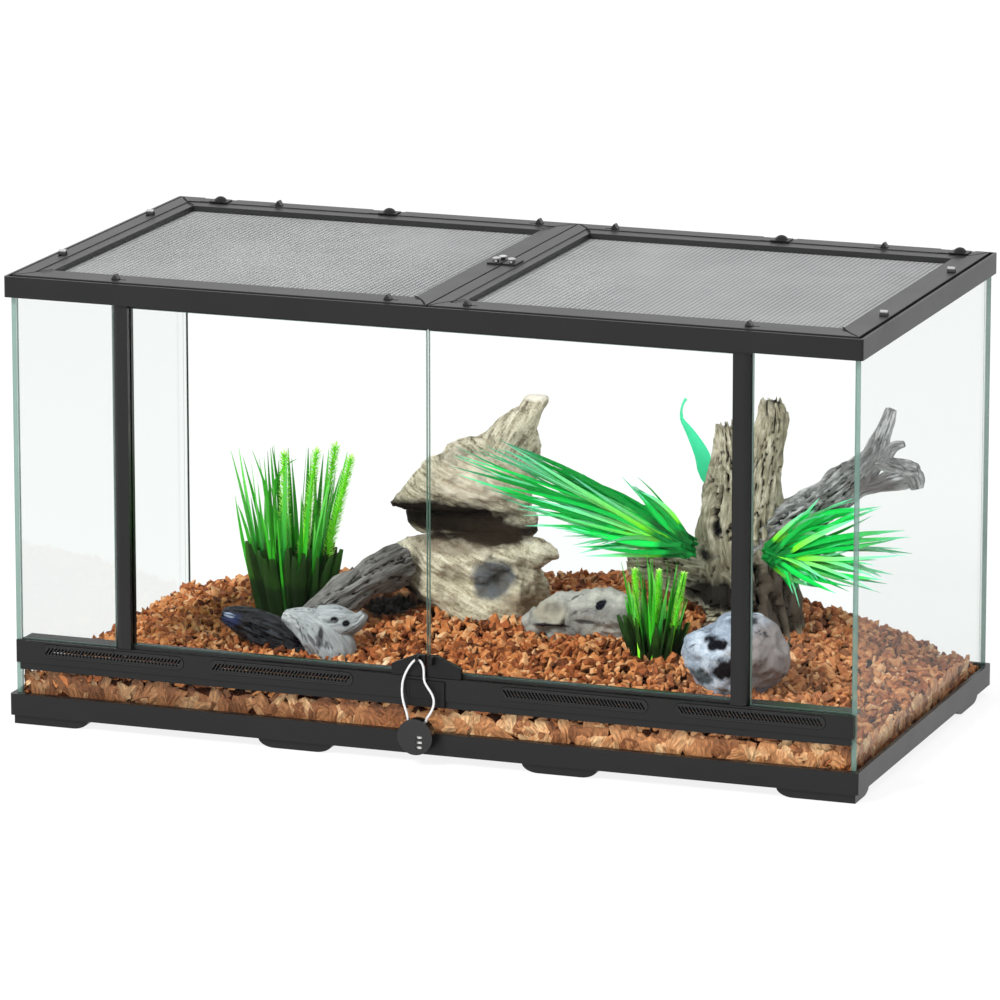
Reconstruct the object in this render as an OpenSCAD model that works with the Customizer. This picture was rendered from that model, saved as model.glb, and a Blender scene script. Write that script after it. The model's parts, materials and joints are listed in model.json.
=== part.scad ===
// Glass reptile terrarium with two front doors, two lift-out mesh lids and a cable lock.
// Units are millimetres. X runs along the front, Y from front to back and Z up, and the
// origin is on the table, at the middle of the space that the whole object takes.

/* [Frames] */
// Length of the black frames
frame_l = 910; // [820:2:1100]
// Depth of the black frames
frame_d = 465; // [440:1:560]
// Height from the table to the top edge of the top frame
frame_h = 468; // [440:1:600]
// Height of the base frame
base_band = 22.5; // [20:0.5:30]
// Height of the top frame
top_band = 21.5; // [20:0.5:28]
// Height of the ledge that the bottom pane lies on
base_ledge_t = 4.5; // [3:0.5:6]
// Width of the ledge that the bottom pane lies on
base_ledge_w = 14; // [10:1:20]
// Wall of the frames outside the side and back panes
frame_wall = 4.5; // [4:0.1:6]
// Wall of the frames in front of the front edge of the side panes
front_wall = 9; // [8.5:0.1:9.4]
// Radius of the frames' upright corners
corner_r = 3; // [1:0.5:4]
// Width of the upright ridge round the lids
ridge_t = 3; // [2:0.5:3.5]
// Depth of the well that the lids lie in
lid_well = 8; // [7.5:0.1:8.5]
// Width of the ledge under the outer sides of the lids
seat_side_w = 28; // [24:1:29]
// Width of the ledge under the front and back of the lids
seat_front_w = 41; // [36:1:42]
// Depth of the channels that hold the upper edges of the panes
channel_h = 5.5; // [4:0.5:7]
// Width of the bar under the gap between the lids
bar_w = 28; // [22:1:30]
// Height of the bar under the gap between the lids
bar_h = 11; // [8:1:13]

/* [Feet] */
// Height of the feet
foot_h = 9.5; // [7:0.5:14]
// How far the feet stand back from the faces of the frame
foot_inset = 3.5; // [2:0.5:6]
// Width of a foot, square to the face that it stands behind
foot_w = 25; // [18:1:35]
// Length of a middle foot at its top
foot_l = 80; // [60:2:110]
// Length of a corner foot along the front
corner_foot_l = 82; // [60:2:100]
// Length of a corner foot along the side
corner_foot_d = 46; // [40:2:70]
// Length of a side foot
side_foot_l = 74; // [60:2:100]
// Length over which the ends of the feet round up
foot_round = 18; // [10:1:24]
// Middle of the middle feet, from the ends of the frame
foot_in = 313; // [280:1:330]
// Middle of the side feet, forward of the back of the frame
side_foot_back = 72; // [60:2:100]

/* [Glass] */
// Thickness of the side panes
side_t = 5; // [4:0.5:6]
// Thickness of the back pane
back_t = 5; // [4:0.5:6]
// Thickness of the bottom pane
bottom_t = 5; // [4:0.5:6]
// Thickness of the doors and the other front panes
front_t = 4; // [3:0.5:5]
// Clearance round the edges of the panes
pane_gap = 0.2; // [0.1:0.05:0.4]

/* [Vent strip] */
// Height of the lower edge of the vent strip above the table
strip_z = 57.5; // [50:0.5:62]
// Height of the vent strip
strip_h = 31; // [28:0.5:34]
// Height of the recessed lip under its face
lip_h = 7.5; // [6:0.5:9]
// How far the lip stands back from the face
lip_inset = 1.5; // [1:0.5:3]
// How far the strip stands back from the front of the frames
strip_inset = 4; // [3:0.5:5]
// Gap between the ends of the strip and the outer face of the side panes
strip_end = 1.8; // [1:0.1:4]
// Depth of the solid part of the strip
strip_d = 16; // [14:1:18]
// Depth of the ledge behind the strip
strip_ledge_d = 16; // [8:1:24]
// Thickness of the ledge behind the strip
strip_ledge_t = 4; // [3:0.5:6]
// Length of a vent grille
vent_l = 156; // [120:2:170]
// Height of a vent grille
vent_h = 13.7; // [11:0.1:15]
// Thickness of a vent grille
vent_t = 3; // [2:0.5:4]
// How far the rim of a grille stands out of the strip
vent_rim = 0.6; // [0.3:0.1:1]
// Middle of the outer vent grilles, from the ends of the strip
vent_end = 107.2; // [104:0.2:114]
// Distance from an outer to an inner vent grille, middle to middle
vent_step = 184.5; // [175:0.5:186]
// Height of the middle of the grilles above the lower edge of the strip
vent_up = 21.7; // [20:0.1:22.5]
// Distance from slot to slot in a grille
slot_pitch = 3.8; // [3:0.1:5]
// Width of a slot
slot_w = 1.7; // [1:0.1:2.5]
// Height of a slot
slot_h = 8.4; // [6:0.1:10]
// Lean of the slots in degrees
slot_lean = 35; // [0:1:45]
// Length of the plate in the middle of the strip
plate_l = 40; // [30:1:60]
// Height of the plate in the middle of the strip
plate_h = 27; // [22:1:30]
// Thickness of the plate
plate_t = 2.2; // [1:0.2:3]

/* [Doors] */
// Width of the fixed panes beside the doors
side_pane_w = 105.4; // [90:0.2:130]
// Radius of the round outer side of a door stile
stile_r = 8; // [7:0.5:9]
// Width of the flat part of a stile, from the hinge axis to the glass
stile_w = 9.9; // [8:0.1:14]
// Depth to which the door glass sits in its stile
stile_groove = 5.7; // [4:0.1:6.5]
// Gap above and below a stile
stile_gap = 0.5; // [0.3:0.1:0.9]
// Gap between a stile and the fixed pane beside it
stile_side_gap = 0.9; // [0.7:0.1:0.9]
// Gap between the two doors
door_gap = 2; // [1.6:0.2:4]
// Radius of the hinge pins
pin_r = 2; // [1.5:0.1:3]
// Running clearance round the hinge pins
pin_fit = 0.05; // [0.02:0.01:0.1]
// Length of a hinge pin
pin_l = 19; // [14:1:26]
// Depth to which a pin goes into the frame or the strip
pin_in = 9; // [6:0.5:10]
// Height of the seals on the lower and upper edges of the door glass
seal_h = 3.2; // [2:0.2:5]
// Depth of the seals
seal_d = 5; // [4.2:0.2:8]
// Length of one half of the door handle
handle_l = 36; // [28:1:60]
// Height of the handle in the middle
handle_h = 21.8; // [18:0.2:30]
// Height of the handle at its outer end
handle_end_h = 10.8; // [8:0.2:16]
// Length of the level part at the top of each half
handle_top_l = 10; // [8:1:20]
// How far the handle stands out from the glass
handle_t = 6.3; // [5:0.1:6.5]
// Distance of the lock lugs from the middle
lug_x = 7.5; // [7.5:0.5:9]
// Thickness of a lock lug
lug_t = 3; // [2:0.5:4]
// Outer radius of a lock lug
lug_r = 4; // [3.6:0.2:4.4]
// Radius of the hole in a lock lug
lug_hole_r = 2.2; // [1.9:0.1:2.6]
// Height of that hole above the foot of the handle
lug_up = 17.8; // [17:0.2:18.6]

/* [Lock] */
// Diameter of the lock's cable
cable_d = 2.6; // [2:0.1:3]
// Radius of the lock's round case
lock_r = 18.6; // [17:0.2:22]
// Thickness of the lock's front shell
lock_front_t = 9; // [8.6:0.2:10]
// Thickness of the lock's back cover
lock_back_t = 3.5; // [3.4:0.1:5]
// Height of the middle of the lock above the table
lock_z = 30.5; // [28:0.5:32]
// Middle of the lock, left of the gap between the doors
lock_x = 5.5; // [5.3:0.1:5.7]
// Gap between the lock and the front of the frames
lock_gap = 2.5; // [2:0.1:4]
// Radius of a number wheel
wheel_r = 4.6; // [4:0.1:4.7]
// Thickness of a number wheel
wheel_t = 4.4; // [3.6:0.1:4.7]
// Distance from wheel to wheel
wheel_pitch = 5.2; // [5:0.1:5.6]
// Middle of the wheels, right of the middle of the lock
wheel_x = 4.5; // [4:0.1:5]
// Radius of the axle of the wheels
wheel_axle_r = 1.2; // [1:0.1:1.5]
// Running clearance of the wheels on their axle
wheel_fit = 0.05; // [0.02:0.01:0.1]
// Clearance of the wheels in the case
wheel_gap = 0.4; // [0.3:0.05:0.4]
// Thickness of the front of the case
lock_wall = 1.2; // [0.8:0.1:1.2]

/* [Lids] */
// Gap between the two lids
lid_gap = 2; // [1.6:0.2:4]
// Gap between a lid and the ridge of the frame, at the side
lid_side_gap = 3.5; // [2:0.5:4.5]
// Gap between a lid and the ridge of the frame, at the front and back
lid_front_gap = 4.5; // [2:0.5:6]
// Clearance under a lid
lid_seat_gap = 0.2; // [0.1:0.05:0.3]
// How far the raised border of a lid stands above the frame's ridge
lid_proud = 1; // [0.5:0.1:3]
// Step from the raised border of a lid down to its inner border
lid_step = 1; // [0.5:0.1:1.5]
// Width of the raised border at the sides of a lid
border_side_w = 16; // [14:0.5:18]
// Width of the raised border at the front and back of a lid
border_front_w = 19; // [16:0.5:22]
// Width of a lid's rails at its outer side
rail_side_w = 28.5; // [26:0.5:32]
// Width of a lid's rails at the middle of the terrarium
rail_mid_w = 26; // [24:0.5:30]
// Width of a lid's rails at the front and back
rail_front_w = 38.5; // [36:0.5:44]
// Thickness of the skirt and the top of a rail
rail_wall = 2; // [1.5:0.1:2.5]
// Thickness of the mesh
mesh_t = 0.8; // [0.5:0.1:1]
// Width of the edge of the mesh that sits under the rails
mesh_edge = 5; // [3:0.5:7]
// Height of the mesh above the underside of a lid
mesh_up = 1; // [0.5:0.1:1.5]
// Openings of the mesh along each side
mesh_cells = 12; // [4:1:12]
// Width of the bars between the openings of the mesh
mesh_bar = 8; // [3:0.5:12]

/* [Lid clips and latch] */
// Middle of the outer clips, from the outer edge of a lid
clip_out = 112.5; // [104:0.5:123]
// Middle of the inner clips, from the middle of the terrarium
clip_in_x = 42; // [35:1:60]
// Middle of the side clips, forward and back of the middle
clip_side_y = 116; // [90:2:140]
// Distance of the front and back clips from the edge of a lid
clip_edge = 12.5; // [11:0.5:14]
// Distance of the side clips from the edge of a lid
clip_side_edge = 7; // [6.6:0.1:8]
// Travel of a clip
clip_travel = 7.5; // [5:0.5:10]
// Length of the head of a clip
clip_l = 7.2; // [7:0.2:10]
// Height of the head of a clip
clip_h = 5.5; // [4:0.2:7]
// Width of the head of a clip
clip_w = 8; // [5:0.2:8.6]
// Length of the stem of a clip
stem_l = 6.5; // [5:0.1:7]
// Width of the stem of a clip
stem_w = 2.6; // [2:0.1:3.2]
// Thickness of the foot of a clip
clip_foot_t = 1.6; // [1.2:0.1:2]
// Clearance round what slides in a lid
slide_gap = 0.2; // [0.1:0.05:0.3]
// Length of each half of the latch plate
latch_l = 14.5; // [13:0.5:15]
// Depth of the latch plate
latch_d = 25; // [20:1:34]
// Thickness of the latch plate
latch_t = 2; // [1:0.2:3]
// Radius of the caps on the latch
latch_cap_r = 4.2; // [3.4:0.1:4.6]
// Travel of the latch sliders
latch_travel = 2.4; // [1.5:0.1:2.6]

/* [Cable inlets] */
// Middle of the outer cable inlets, from the outer edge of a lid
inlet_out = 38.5; // [37:0.5:46]
// Middle of the inner cable inlets, from the outer edge of a lid
inlet_in = 231; // [200:1:250]
// Length of an inlet
inlet_l = 16; // [12:1:18]
// Depth of an inlet
inlet_d = 10; // [8:0.5:11]
// Travel of a shutter
shutter_travel = 18; // [14:1:20]
// Radius of the dome on a shutter
dome_r = 7; // [5:0.5:9]
// Height of the dome on a shutter
dome_h = 4.5; // [3:0.5:5]
// Thickness of the plate of a shutter
shutter_t = 1.2; // [0.8:0.1:2]

/* [Layout inside] */
// Height of the bark at the front pane
bark_h = 57; // [50:1:62]
// Height of the mound on the right at the back
mound_h = 48; // [20:1:60]
// Height of the mound on the left at the back
mound_left_h = 30; // [10:1:40]

/* [Hidden] */
$fn = 48;
// Overrun of a cut past the face that it opens
cut = 1;

// The lock reaches in front of the frames, so the frames stand back by half of that reach.
lock_reach = lock_gap + lock_back_t + lock_front_t;
front_y = -(frame_d - lock_reach) / 2;
back_y = front_y + frame_d;
mid_y = (front_y + back_y) / 2;

base_top = foot_h + base_band;
floor_z = foot_h + base_ledge_t;
bark_z0 = floor_z + bottom_t + pane_gap;
top_z0 = frame_h - top_band;
seat_z = frame_h - lid_well;
pane_top = top_z0 + channel_h - pane_gap;

glass_out_x = frame_l / 2 - frame_wall;
glass_in_x = glass_out_x - side_t;
side_front_y = front_y + front_wall;
back_in_y = back_y - frame_wall - back_t;

// The doors hang beside the fixed front panes.
hinge_x = glass_in_x - pane_gap - side_pane_w - stile_side_gap - stile_r;
// The doors, the fixed front panes and the lower front pane lie in one plane.
hinge_y = front_y + strip_inset - 0.5 + stile_r;
pane_y0 = hinge_y - front_t / 2;
pane_y1 = hinge_y + front_t / 2;

strip_y0 = front_y + strip_inset;
strip_top = strip_z + strip_h;
strip_x = glass_out_x - strip_end;
lip_y0 = strip_y0 + lip_inset;
vent_z = strip_z + vent_up;
vent_out_x = strip_x - vent_end;
vent_in_x = vent_out_x - vent_step;
vent_places = [-vent_out_x, -vent_in_x, vent_in_x, vent_out_x];
window_edge = 1.6;
// Heights of the lower and upper edge of the windows behind the grilles
window_z0 = vent_z - vent_h / 2 + window_edge;
window_z1 = vent_z + vent_h / 2 - window_edge;
nub_r = 1.4;
nub_pitch = 0.4;

door_z0 = strip_top + stile_gap;
door_z1 = top_z0 - stile_gap;
door_in_x = door_gap / 2;
// Length of a pin inside its stile
pin_up = pin_l - pin_in - stile_gap;
glass_z0 = door_z0 + seal_h;
glass_z1 = door_z1 - seal_h;

lug_z = door_z0 + lug_up;
cable_y = front_y - 0.5;
lock_back_y = front_y - lock_gap;
lock_mid_y = lock_back_y - lock_back_t;
lock_front_y = lock_mid_y - lock_front_t;
lock_cx = -lock_x;
wheels_x = lock_cx + wheel_x;
wheels_y = lock_front_y + lock_wall + wheel_gap + wheel_r;
wheels_room = wheel_pitch * 2 + wheel_t;
// Inner end of the opening in the case from which the wheels stand out
thumb_x = wheels_x + wheel_r - 1.4;
wheels_z = lock_z - wheel_pitch;
axle_l = wheels_room + 2 * wheel_gap + 4;

lid_x0 = lid_gap / 2;
lid_x1 = frame_l / 2 - ridge_t - lid_side_gap;
lid_y0 = front_y + ridge_t + lid_front_gap;
lid_y1 = back_y - ridge_t - lid_front_gap;
lid_z0 = seat_z + lid_seat_gap;
lid_top = frame_h + lid_proud;
lid_inner_top = lid_top - lid_step;
rail_top_t = rail_wall + 0.5;
hollow_z = lid_top - rail_top_t;
open_x0 = lid_x0 + rail_mid_w;
open_x1 = lid_x1 - rail_side_w;
open_y0 = lid_y0 + rail_front_w;
open_y1 = lid_y1 - rail_front_w;
mesh_z = lid_z0 + mesh_up;

clip_out_x = lid_x1 - clip_out;
inlet_out_x = lid_x1 - inlet_out;
inlet_in_x = lid_x1 - inlet_in;
latch_x = lid_x0 + latch_l / 2;
shutter_l = inlet_l + 4;
inlet_y0 = lid_y1 - clip_edge - inlet_d / 2 + 1;
hollow_side_w = border_side_w - 1.5 * rail_wall;
hollow_front_w = border_front_w + 2 * rail_wall;
guide_y = inlet_y0 - stem_w / 2 - 1.2;
// Width of the feet of all that slides in a lid
slide_foot_w = 5;

// Route of the cable: through the lug of the left door, clear of the right door's handle
cable_route = [
    [-15, -8.5, 42], [-15, -8.5, 47], [-16.3, -8, 52.5], [-19, -6.5, 58.5], [-21.8, -4, 64.5],
    [-23.6, -2, 71], [-24, -0.8, 78], [-23, -0.5, 85], [-20.7, -0.5, 91.5], [-17.6, -0.5, 97.5],
    [-14.2, -0.5, 102.5], [-11, -0.5, 105.8], [-7.5, -0.5, 106.9], [-4.4, -0.5, 105.7],
    [-1.9, -0.5, 101.5], [-0.9, -0.5, 96.5], [-0.8, -0.5, 91.8], [-0.6, -0.6, 87.6],
    [0.9, -0.9, 83.4], [4.1, -1.6, 79], [7.6, -2.6, 74.8], [10.4, -3.8, 70.2],
    [11.5, -5.2, 64.8], [10.6, -6.6, 59.4], [8.2, -7.7, 54.2], [5.5, -8.4, 49.8],
    [4.2, -8.5, 46], [4.2, -8.5, 42]
];
cable_socket = 0.2;

function sum2(a, b) = a * a + b * b;
function smooth(t) = let (c = max(0, min(1, t))) c * c * (3 - 2 * c);
function unit(v) = v / norm(v);
function quarter(w, h, n) = [for (i = [0:n]) [w * (1 - cos(90 * i / n)), h * (1 - sin(90 * i / n))]];

module box(x0, x1, y0, y1, z0, z1) {
    translate([x0, y0, z0]) cube([x1 - x0, y1 - y0, z1 - z0]);
}

// A box on both sides of x = 0 with round upright corners
module round_box(x, y0, y1, z0, z1) {
    r = corner_r;
    box(-x + r, x - r, y0, y1, z0, z1);
    box(-x, x, y0 + r, y1 - r, z0, z1);
    for (cx = [-x + r, x - r]) for (cy = [y0 + r, y1 - r])
        translate([cx, cy, z0]) cylinder(h = z1 - z0, r = r);
}

module both_sides() {
    children();
    mirror([1, 0, 0]) children();
}

// ---- Base -------------------------------------------------------------------------------

module base_frame() {
    x = frame_l / 2;
    pocket_x = glass_out_x + pane_gap;
    color("#333333") difference() {
        round_box(x, front_y, back_y, foot_h, base_top);
        box(-pocket_x, pocket_x, side_front_y - pane_gap, back_y - frame_wall + pane_gap,
            floor_z, base_top + cut);
        box(-pocket_x + base_ledge_w, pocket_x - base_ledge_w, front_y + front_wall + base_ledge_w,
            back_y - frame_wall - base_ledge_w, foot_h - cut, floor_z + cut);
    }
}

// Outline of a foot of length l, seen from the side, with a rounded lower corner at one end
// or at both ends
module foot_outline(l, both) {
    a = quarter(foot_round, foot_h, 8);
    right = [for (p = a) [l - p.x, p.y]];
    left = both ? [for (i = [len(a) - 1:-1:0]) a[i]] : [[0, 0], [0, foot_h]];
    polygon(concat(right, left));
}

module foot(l, both = true) {
    rotate([90, 0, 0]) translate([0, 0, -foot_w]) linear_extrude(foot_w) foot_outline(l, both);
}

module feet() {
    x = frame_l / 2 - foot_inset;
    foot_x = frame_l / 2 - foot_in;
    y0 = front_y + foot_inset;
    color("#2b2b2b") {
        both_sides() {
            // Corner foot: one leg along the front and one along the side
            translate([-x, y0, 0]) union() {
                foot(corner_foot_l, false);
                translate([foot_w, 0, 0]) rotate([0, 0, 90]) foot(corner_foot_d, false);
            }
            translate([foot_x - foot_l / 2, y0, 0]) foot(foot_l);
            translate([foot_x - foot_l / 2, back_y - foot_inset - foot_w, 0]) foot(foot_l);
            translate([-x + foot_w, back_y - side_foot_back - side_foot_l / 2, 0])
                rotate([0, 0, 90]) foot(side_foot_l);
        }
    }
}

module bottom_glass() {
    x = glass_in_x - pane_gap;
    color("#b9cbc5", 0.5) box(-x, x, pane_y1 + pane_gap, back_in_y - pane_gap, floor_z,
        floor_z + bottom_t);
}

module side_glass() {
    color("#b9cbc5", 0.5) both_sides() box(glass_in_x, glass_out_x, side_front_y,
        back_y - frame_wall, floor_z, pane_top);
}

module back_glass() {
    x = glass_in_x - pane_gap;
    color("#b9cbc5", 0.5) box(-x, x, back_in_y, back_in_y + back_t, floor_z, pane_top);
}

// ---- Front: lower pane, vent strip and fixed side panes -----------------------------------

module front_lower_glass() {
    x = glass_in_x - pane_gap;
    color("#b9cbc5", 0.5) box(-x, x, pane_y0, pane_y1, floor_z, strip_z + lip_h - pane_gap);
}

module front_side_panes() {
    color("#b9cbc5", 0.5) both_sides()
        box(hinge_x + stile_r + stile_side_gap, glass_in_x - pane_gap, pane_y0, pane_y1,
            strip_top + pane_gap, pane_top);
}

// Stadium outline of a vent, grown by e
module vent_outline(e) {
    r = vent_h / 2;
    for (s = [-1, 1]) translate([s * (vent_l / 2 - r), 0]) circle(r + e);
    square([vent_l - vent_h, vent_h + 2 * e], center = true);
}

module whole_vent_strip() {
    x_side = glass_in_x - pane_gap;
    difference() {
        union() {
            // Face, which also covers the front edges of the side panes
            box(-strip_x, strip_x, strip_y0, side_front_y - pane_gap, strip_z + lip_h, strip_top);
            // Lip and body between the side panes
            box(-x_side, x_side, lip_y0, strip_y0 + strip_d, strip_z, strip_top);
            box(-x_side, x_side, strip_y0 + strip_d - cut, strip_y0 + strip_d + strip_ledge_d,
                strip_top - strip_ledge_t, strip_top);
        }
        // Channel that grips the lower pane
        box(-x_side - cut, x_side + cut, pane_y0 - pane_gap, pane_y1 + pane_gap, strip_z - cut,
            strip_z + lip_h);
        for (vx = vent_places) translate([vx, 0, vent_z]) rotate([90, 0, 0]) {
            // Seat of the grille, then the air way behind it
            translate([0, 0, -strip_y0 - vent_t]) linear_extrude(vent_t + cut)
                vent_outline(pane_gap);
            translate([0, 0, -strip_y0 - strip_d - cut]) linear_extrude(strip_d + cut)
                vent_outline(-window_edge);
        }
        both_sides() translate([hinge_x, hinge_y, strip_top - pin_in - pane_gap])
            cylinder(h = pin_in + pane_gap + cut, r = pin_r + pin_fit);
    }
}

// The strip is in three layers: a rail under the windows, the posts between them, and a rail
// with a ledge over them.
module vent_strip(z0, z1) {
    color("#333333") intersection() {
        whole_vent_strip();
        box(-frame_l / 2, frame_l / 2, front_y, back_y, z0, z1);
    }
}

module vent_grille(lean) {
    n = floor((vent_l - vent_h / 2) / slot_pitch / 2);
    difference() {
        union() {
            linear_extrude(vent_t) vent_outline(0);
            translate([0, 0, vent_t - cut]) linear_extrude(vent_rim + cut) difference() {
                vent_outline(0);
                vent_outline(-window_edge);
            }
        }
        for (i = [-n:n]) translate([i * slot_pitch, 0, 0]) rotate([0, 0, -lean])
            translate([0, 0, vent_t / 2]) cube([slot_w, slot_h, vent_t + 2 * cut], center = true);
    }
    // Nubs on the upper rim
    for (i = [-1:1]) translate([i * nub_pitch * vent_l, vent_h / 2 - nub_r, vent_t])
        cylinder(h = 2 * vent_rim, r = nub_r);
}

module vent_grilles() {
    color("#2c2c2c") for (vx = vent_places)
        translate([vx, strip_y0 + vent_t, vent_z]) rotate([90, 0, 0])
            vent_grille(vx < 0 ? slot_lean : -slot_lean);
}

module strip_plate() {
    z0 = strip_z + 0.8;
    rim = 1.2;
    color("#2e2e2e") difference() {
        union() {
            box(-plate_l / 2, plate_l / 2, strip_y0 - plate_t, strip_y0, strip_z + lip_h, z0 + plate_h);
            box(-plate_l / 2, plate_l / 2, strip_y0 - plate_t, lip_y0, z0, strip_z + lip_h);
        }
        // Sunk panel, left bare
        box(-plate_l / 2 + 2 * rim, plate_l / 2 - 4 * rim, strip_y0 - plate_t - cut,
            strip_y0 - plate_t + rim / 2, strip_z + lip_h + rim, z0 + plate_h - 2 * rim);
    }
}

// ---- Top frame ------------------------------------------------------------------------------

// Places of the four cable inlets at rest, from left to right
inlet_places = [-inlet_out_x, -inlet_in_x, inlet_in_x, inlet_out_x];
// Middle of the closed shutters, right of the middle of their travel
shutter_rest = 11;

module top_frame() {
    x = frame_l / 2;
    well_x = x - ridge_t;
    color("#333333") difference() {
        round_box(x, front_y, back_y, top_z0, frame_h);
        box(-well_x, well_x, front_y + ridge_t, back_y - ridge_t, seat_z, frame_h + cut);
        box(-well_x + seat_side_w, well_x - seat_side_w, front_y + ridge_t + seat_front_w,
            back_y - ridge_t - seat_front_w, top_z0 - cut, seat_z + cut);
        // Channels for the panes
        both_sides() {
            box(glass_in_x - pane_gap, glass_out_x + pane_gap, side_front_y - pane_gap,
                back_y - frame_wall + pane_gap, top_z0 - cut, top_z0 + channel_h);
            box(hinge_x + stile_r + stile_side_gap - pane_gap, glass_in_x, pane_y0 - pane_gap,
                pane_y1 + pane_gap, top_z0 - cut, top_z0 + channel_h);
            translate([hinge_x, hinge_y, top_z0 - cut])
                cylinder(h = pin_in + pane_gap + cut, r = pin_r + pin_fit);
        }
        box(-glass_in_x, glass_in_x, back_in_y - pane_gap, back_in_y + back_t + pane_gap,
            top_z0 - cut, top_z0 + channel_h);
        for (c = inlet_places) translate([c + shutter_rest, 0, 0]) {
            // Way down into the tank, and the notch in the ridge
            box(-inlet_l / 2, inlet_l / 2, inlet_y0, inlet_y0 + inlet_d, top_z0 - cut, seat_z + cut);
            box(-inlet_l / 2 - shutter_travel, inlet_l / 2 + 3, back_y - ridge_t - cut,
                back_y + cut, frame_h - lid_well / 2, frame_h + cut);
        }
    }
}

module cross_bar() {
    color("#303030") box(-bar_w / 2, bar_w / 2, front_y + ridge_t + seat_front_w,
        back_y - ridge_t - seat_front_w, seat_z - bar_h, seat_z);
}

// ---- Doors: every module makes the left door's piece ----------------------------------------

module door_stile() {
    color("#333333") difference() {
        translate([-hinge_x, hinge_y, door_z0]) linear_extrude(door_z1 - door_z0) union() {
            circle(stile_r);
            translate([0, -stile_r]) square([stile_w, 2 * stile_r]);
        }
        box(-hinge_x + stile_w - stile_groove, -hinge_x + stile_w + cut,
            pane_y0 - pane_gap, pane_y1 + pane_gap, glass_z0 - pane_gap, glass_z1 + pane_gap);
        for (z = [door_z0 - cut, door_z1 - pin_up])
            translate([-hinge_x, hinge_y, z]) cylinder(h = pin_up + cut, r = pin_r);
    }
}

module door_pins() {
    color("#b8b8b8") for (z = [door_z0 - stile_gap - pin_in, door_z1 + stile_gap + pin_in - pin_l])
        translate([-hinge_x, hinge_y, z]) cylinder(h = pin_l, r = pin_r);
}

module door_glass() {
    color("#b9cbc5", 0.5) box(-hinge_x + stile_w - stile_groove, -door_in_x, pane_y0, pane_y1,
        glass_z0, glass_z1);
}

module door_seals() {
    x0 = -hinge_x + stile_w + pane_gap;
    color("#3a3a3a") for (z = [door_z0 + pane_gap, glass_z1])
        box(x0, -door_in_x, pane_y0, pane_y0 + seal_d, z, z + seal_h - pane_gap);
}

module door_handle() {
    outer = door_in_x + handle_l;
    level = door_in_x + handle_top_l;
    y0 = pane_y0 - handle_t;
    color("#2e2e2e") difference() {
        union() {
            translate([0, pane_y0, door_z0 + pane_gap]) rotate([90, 0, 0])
                linear_extrude(handle_t) polygon([
                    [-outer, 0], [-outer, handle_end_h], [-level, handle_h],
                    [-door_in_x, handle_h], [-door_in_x, 0]
                ]);
            // Lug that the cable of the lock goes through
            translate([-lug_x - lug_t / 2, cable_y, lug_z]) rotate([0, 90, 0])
                cylinder(h = lug_t, r = lug_r);
            box(-lug_x - lug_t / 2, -lug_x + lug_t / 2, cable_y, y0 + cut, lug_z - lug_r,
                lug_z + lug_r);
        }
        translate([-lug_x - lug_t, cable_y, lug_z]) rotate([0, 90, 0])
            cylinder(h = 2 * lug_t, r = lug_hole_r);
    }
}

// ---- Lock -------------------------------------------------------------------------------------

module lock_disc(y0, y1, r) {
    translate([lock_cx, y1, lock_z]) rotate([90, 0, 0]) cylinder(h = y1 - y0, r = r, $fn = 96);
}

module lock_room(e) {
    translate([wheels_x, wheels_y, wheels_z - wheels_room / 2 - e])
        cylinder(h = wheels_room + 2 * e, r = wheel_r + e);
}

module lock_body() {
    room = wheels_room / 2 + wheel_gap;
    window_w = 1.5 * wheel_r;
    window_h = 2.4;
    color("#141416") difference() {
        lock_disc(lock_front_y, lock_mid_y, lock_r);
        lock_room(wheel_gap);
        // Windows that show one number of each wheel
        for (i = [0:2]) translate([wheels_x, lock_front_y, wheels_z + (i - 1) * wheel_pitch])
            cube([window_w, 2 * lock_wall + wheel_r, window_h], center = true);
        // Opening at the side, behind the face, where a thumb turns the wheels
        box(thumb_x, lock_r, lock_front_y + lock_wall, lock_mid_y + cut,
            wheels_z - room, wheels_z + room);
        translate([wheels_x, wheels_y, wheels_z - axle_l / 2])
            cylinder(h = axle_l, r = wheel_axle_r);
        for (end = [cable_route[0], cable_route[len(cable_route) - 1]])
            translate([end.x, front_y + end.y, end.z])
                cylinder(h = lock_r, r = cable_d / 2 + cable_socket);
    }
}

module lock_back() {
    color("#1b1b1d") difference() {
        lock_disc(lock_mid_y, lock_back_y, lock_r - 0.6);
        lock_room(wheel_gap);
        box(thumb_x, lock_r, lock_mid_y - cut, lock_back_y + cut,
            wheels_z - wheels_room / 2 - wheel_gap, wheels_z + wheels_room / 2 + wheel_gap);
    }
}

module lock_axle() {
    color("#b8b8b8") translate([wheels_x, wheels_y, wheels_z - axle_l / 2])
        cylinder(h = axle_l, r = wheel_axle_r);
}

module number_wheel(i) {
    color("#e9e9e6") translate([wheels_x, wheels_y, wheels_z + (1 - i) * wheel_pitch - wheel_t / 2])
        difference() {
            cylinder(h = wheel_t, r = wheel_r);
            translate([0, 0, -cut]) cylinder(h = wheel_t + 2 * cut, r = wheel_axle_r + wheel_fit);
            // Grip notches, one for each number
            for (k = [0:9]) rotate([0, 0, 36 * k + 18]) translate([wheel_r + 0.2, 0, -cut])
                cylinder(h = wheel_t + 2 * cut, r = 0.6);
        }
}

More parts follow.
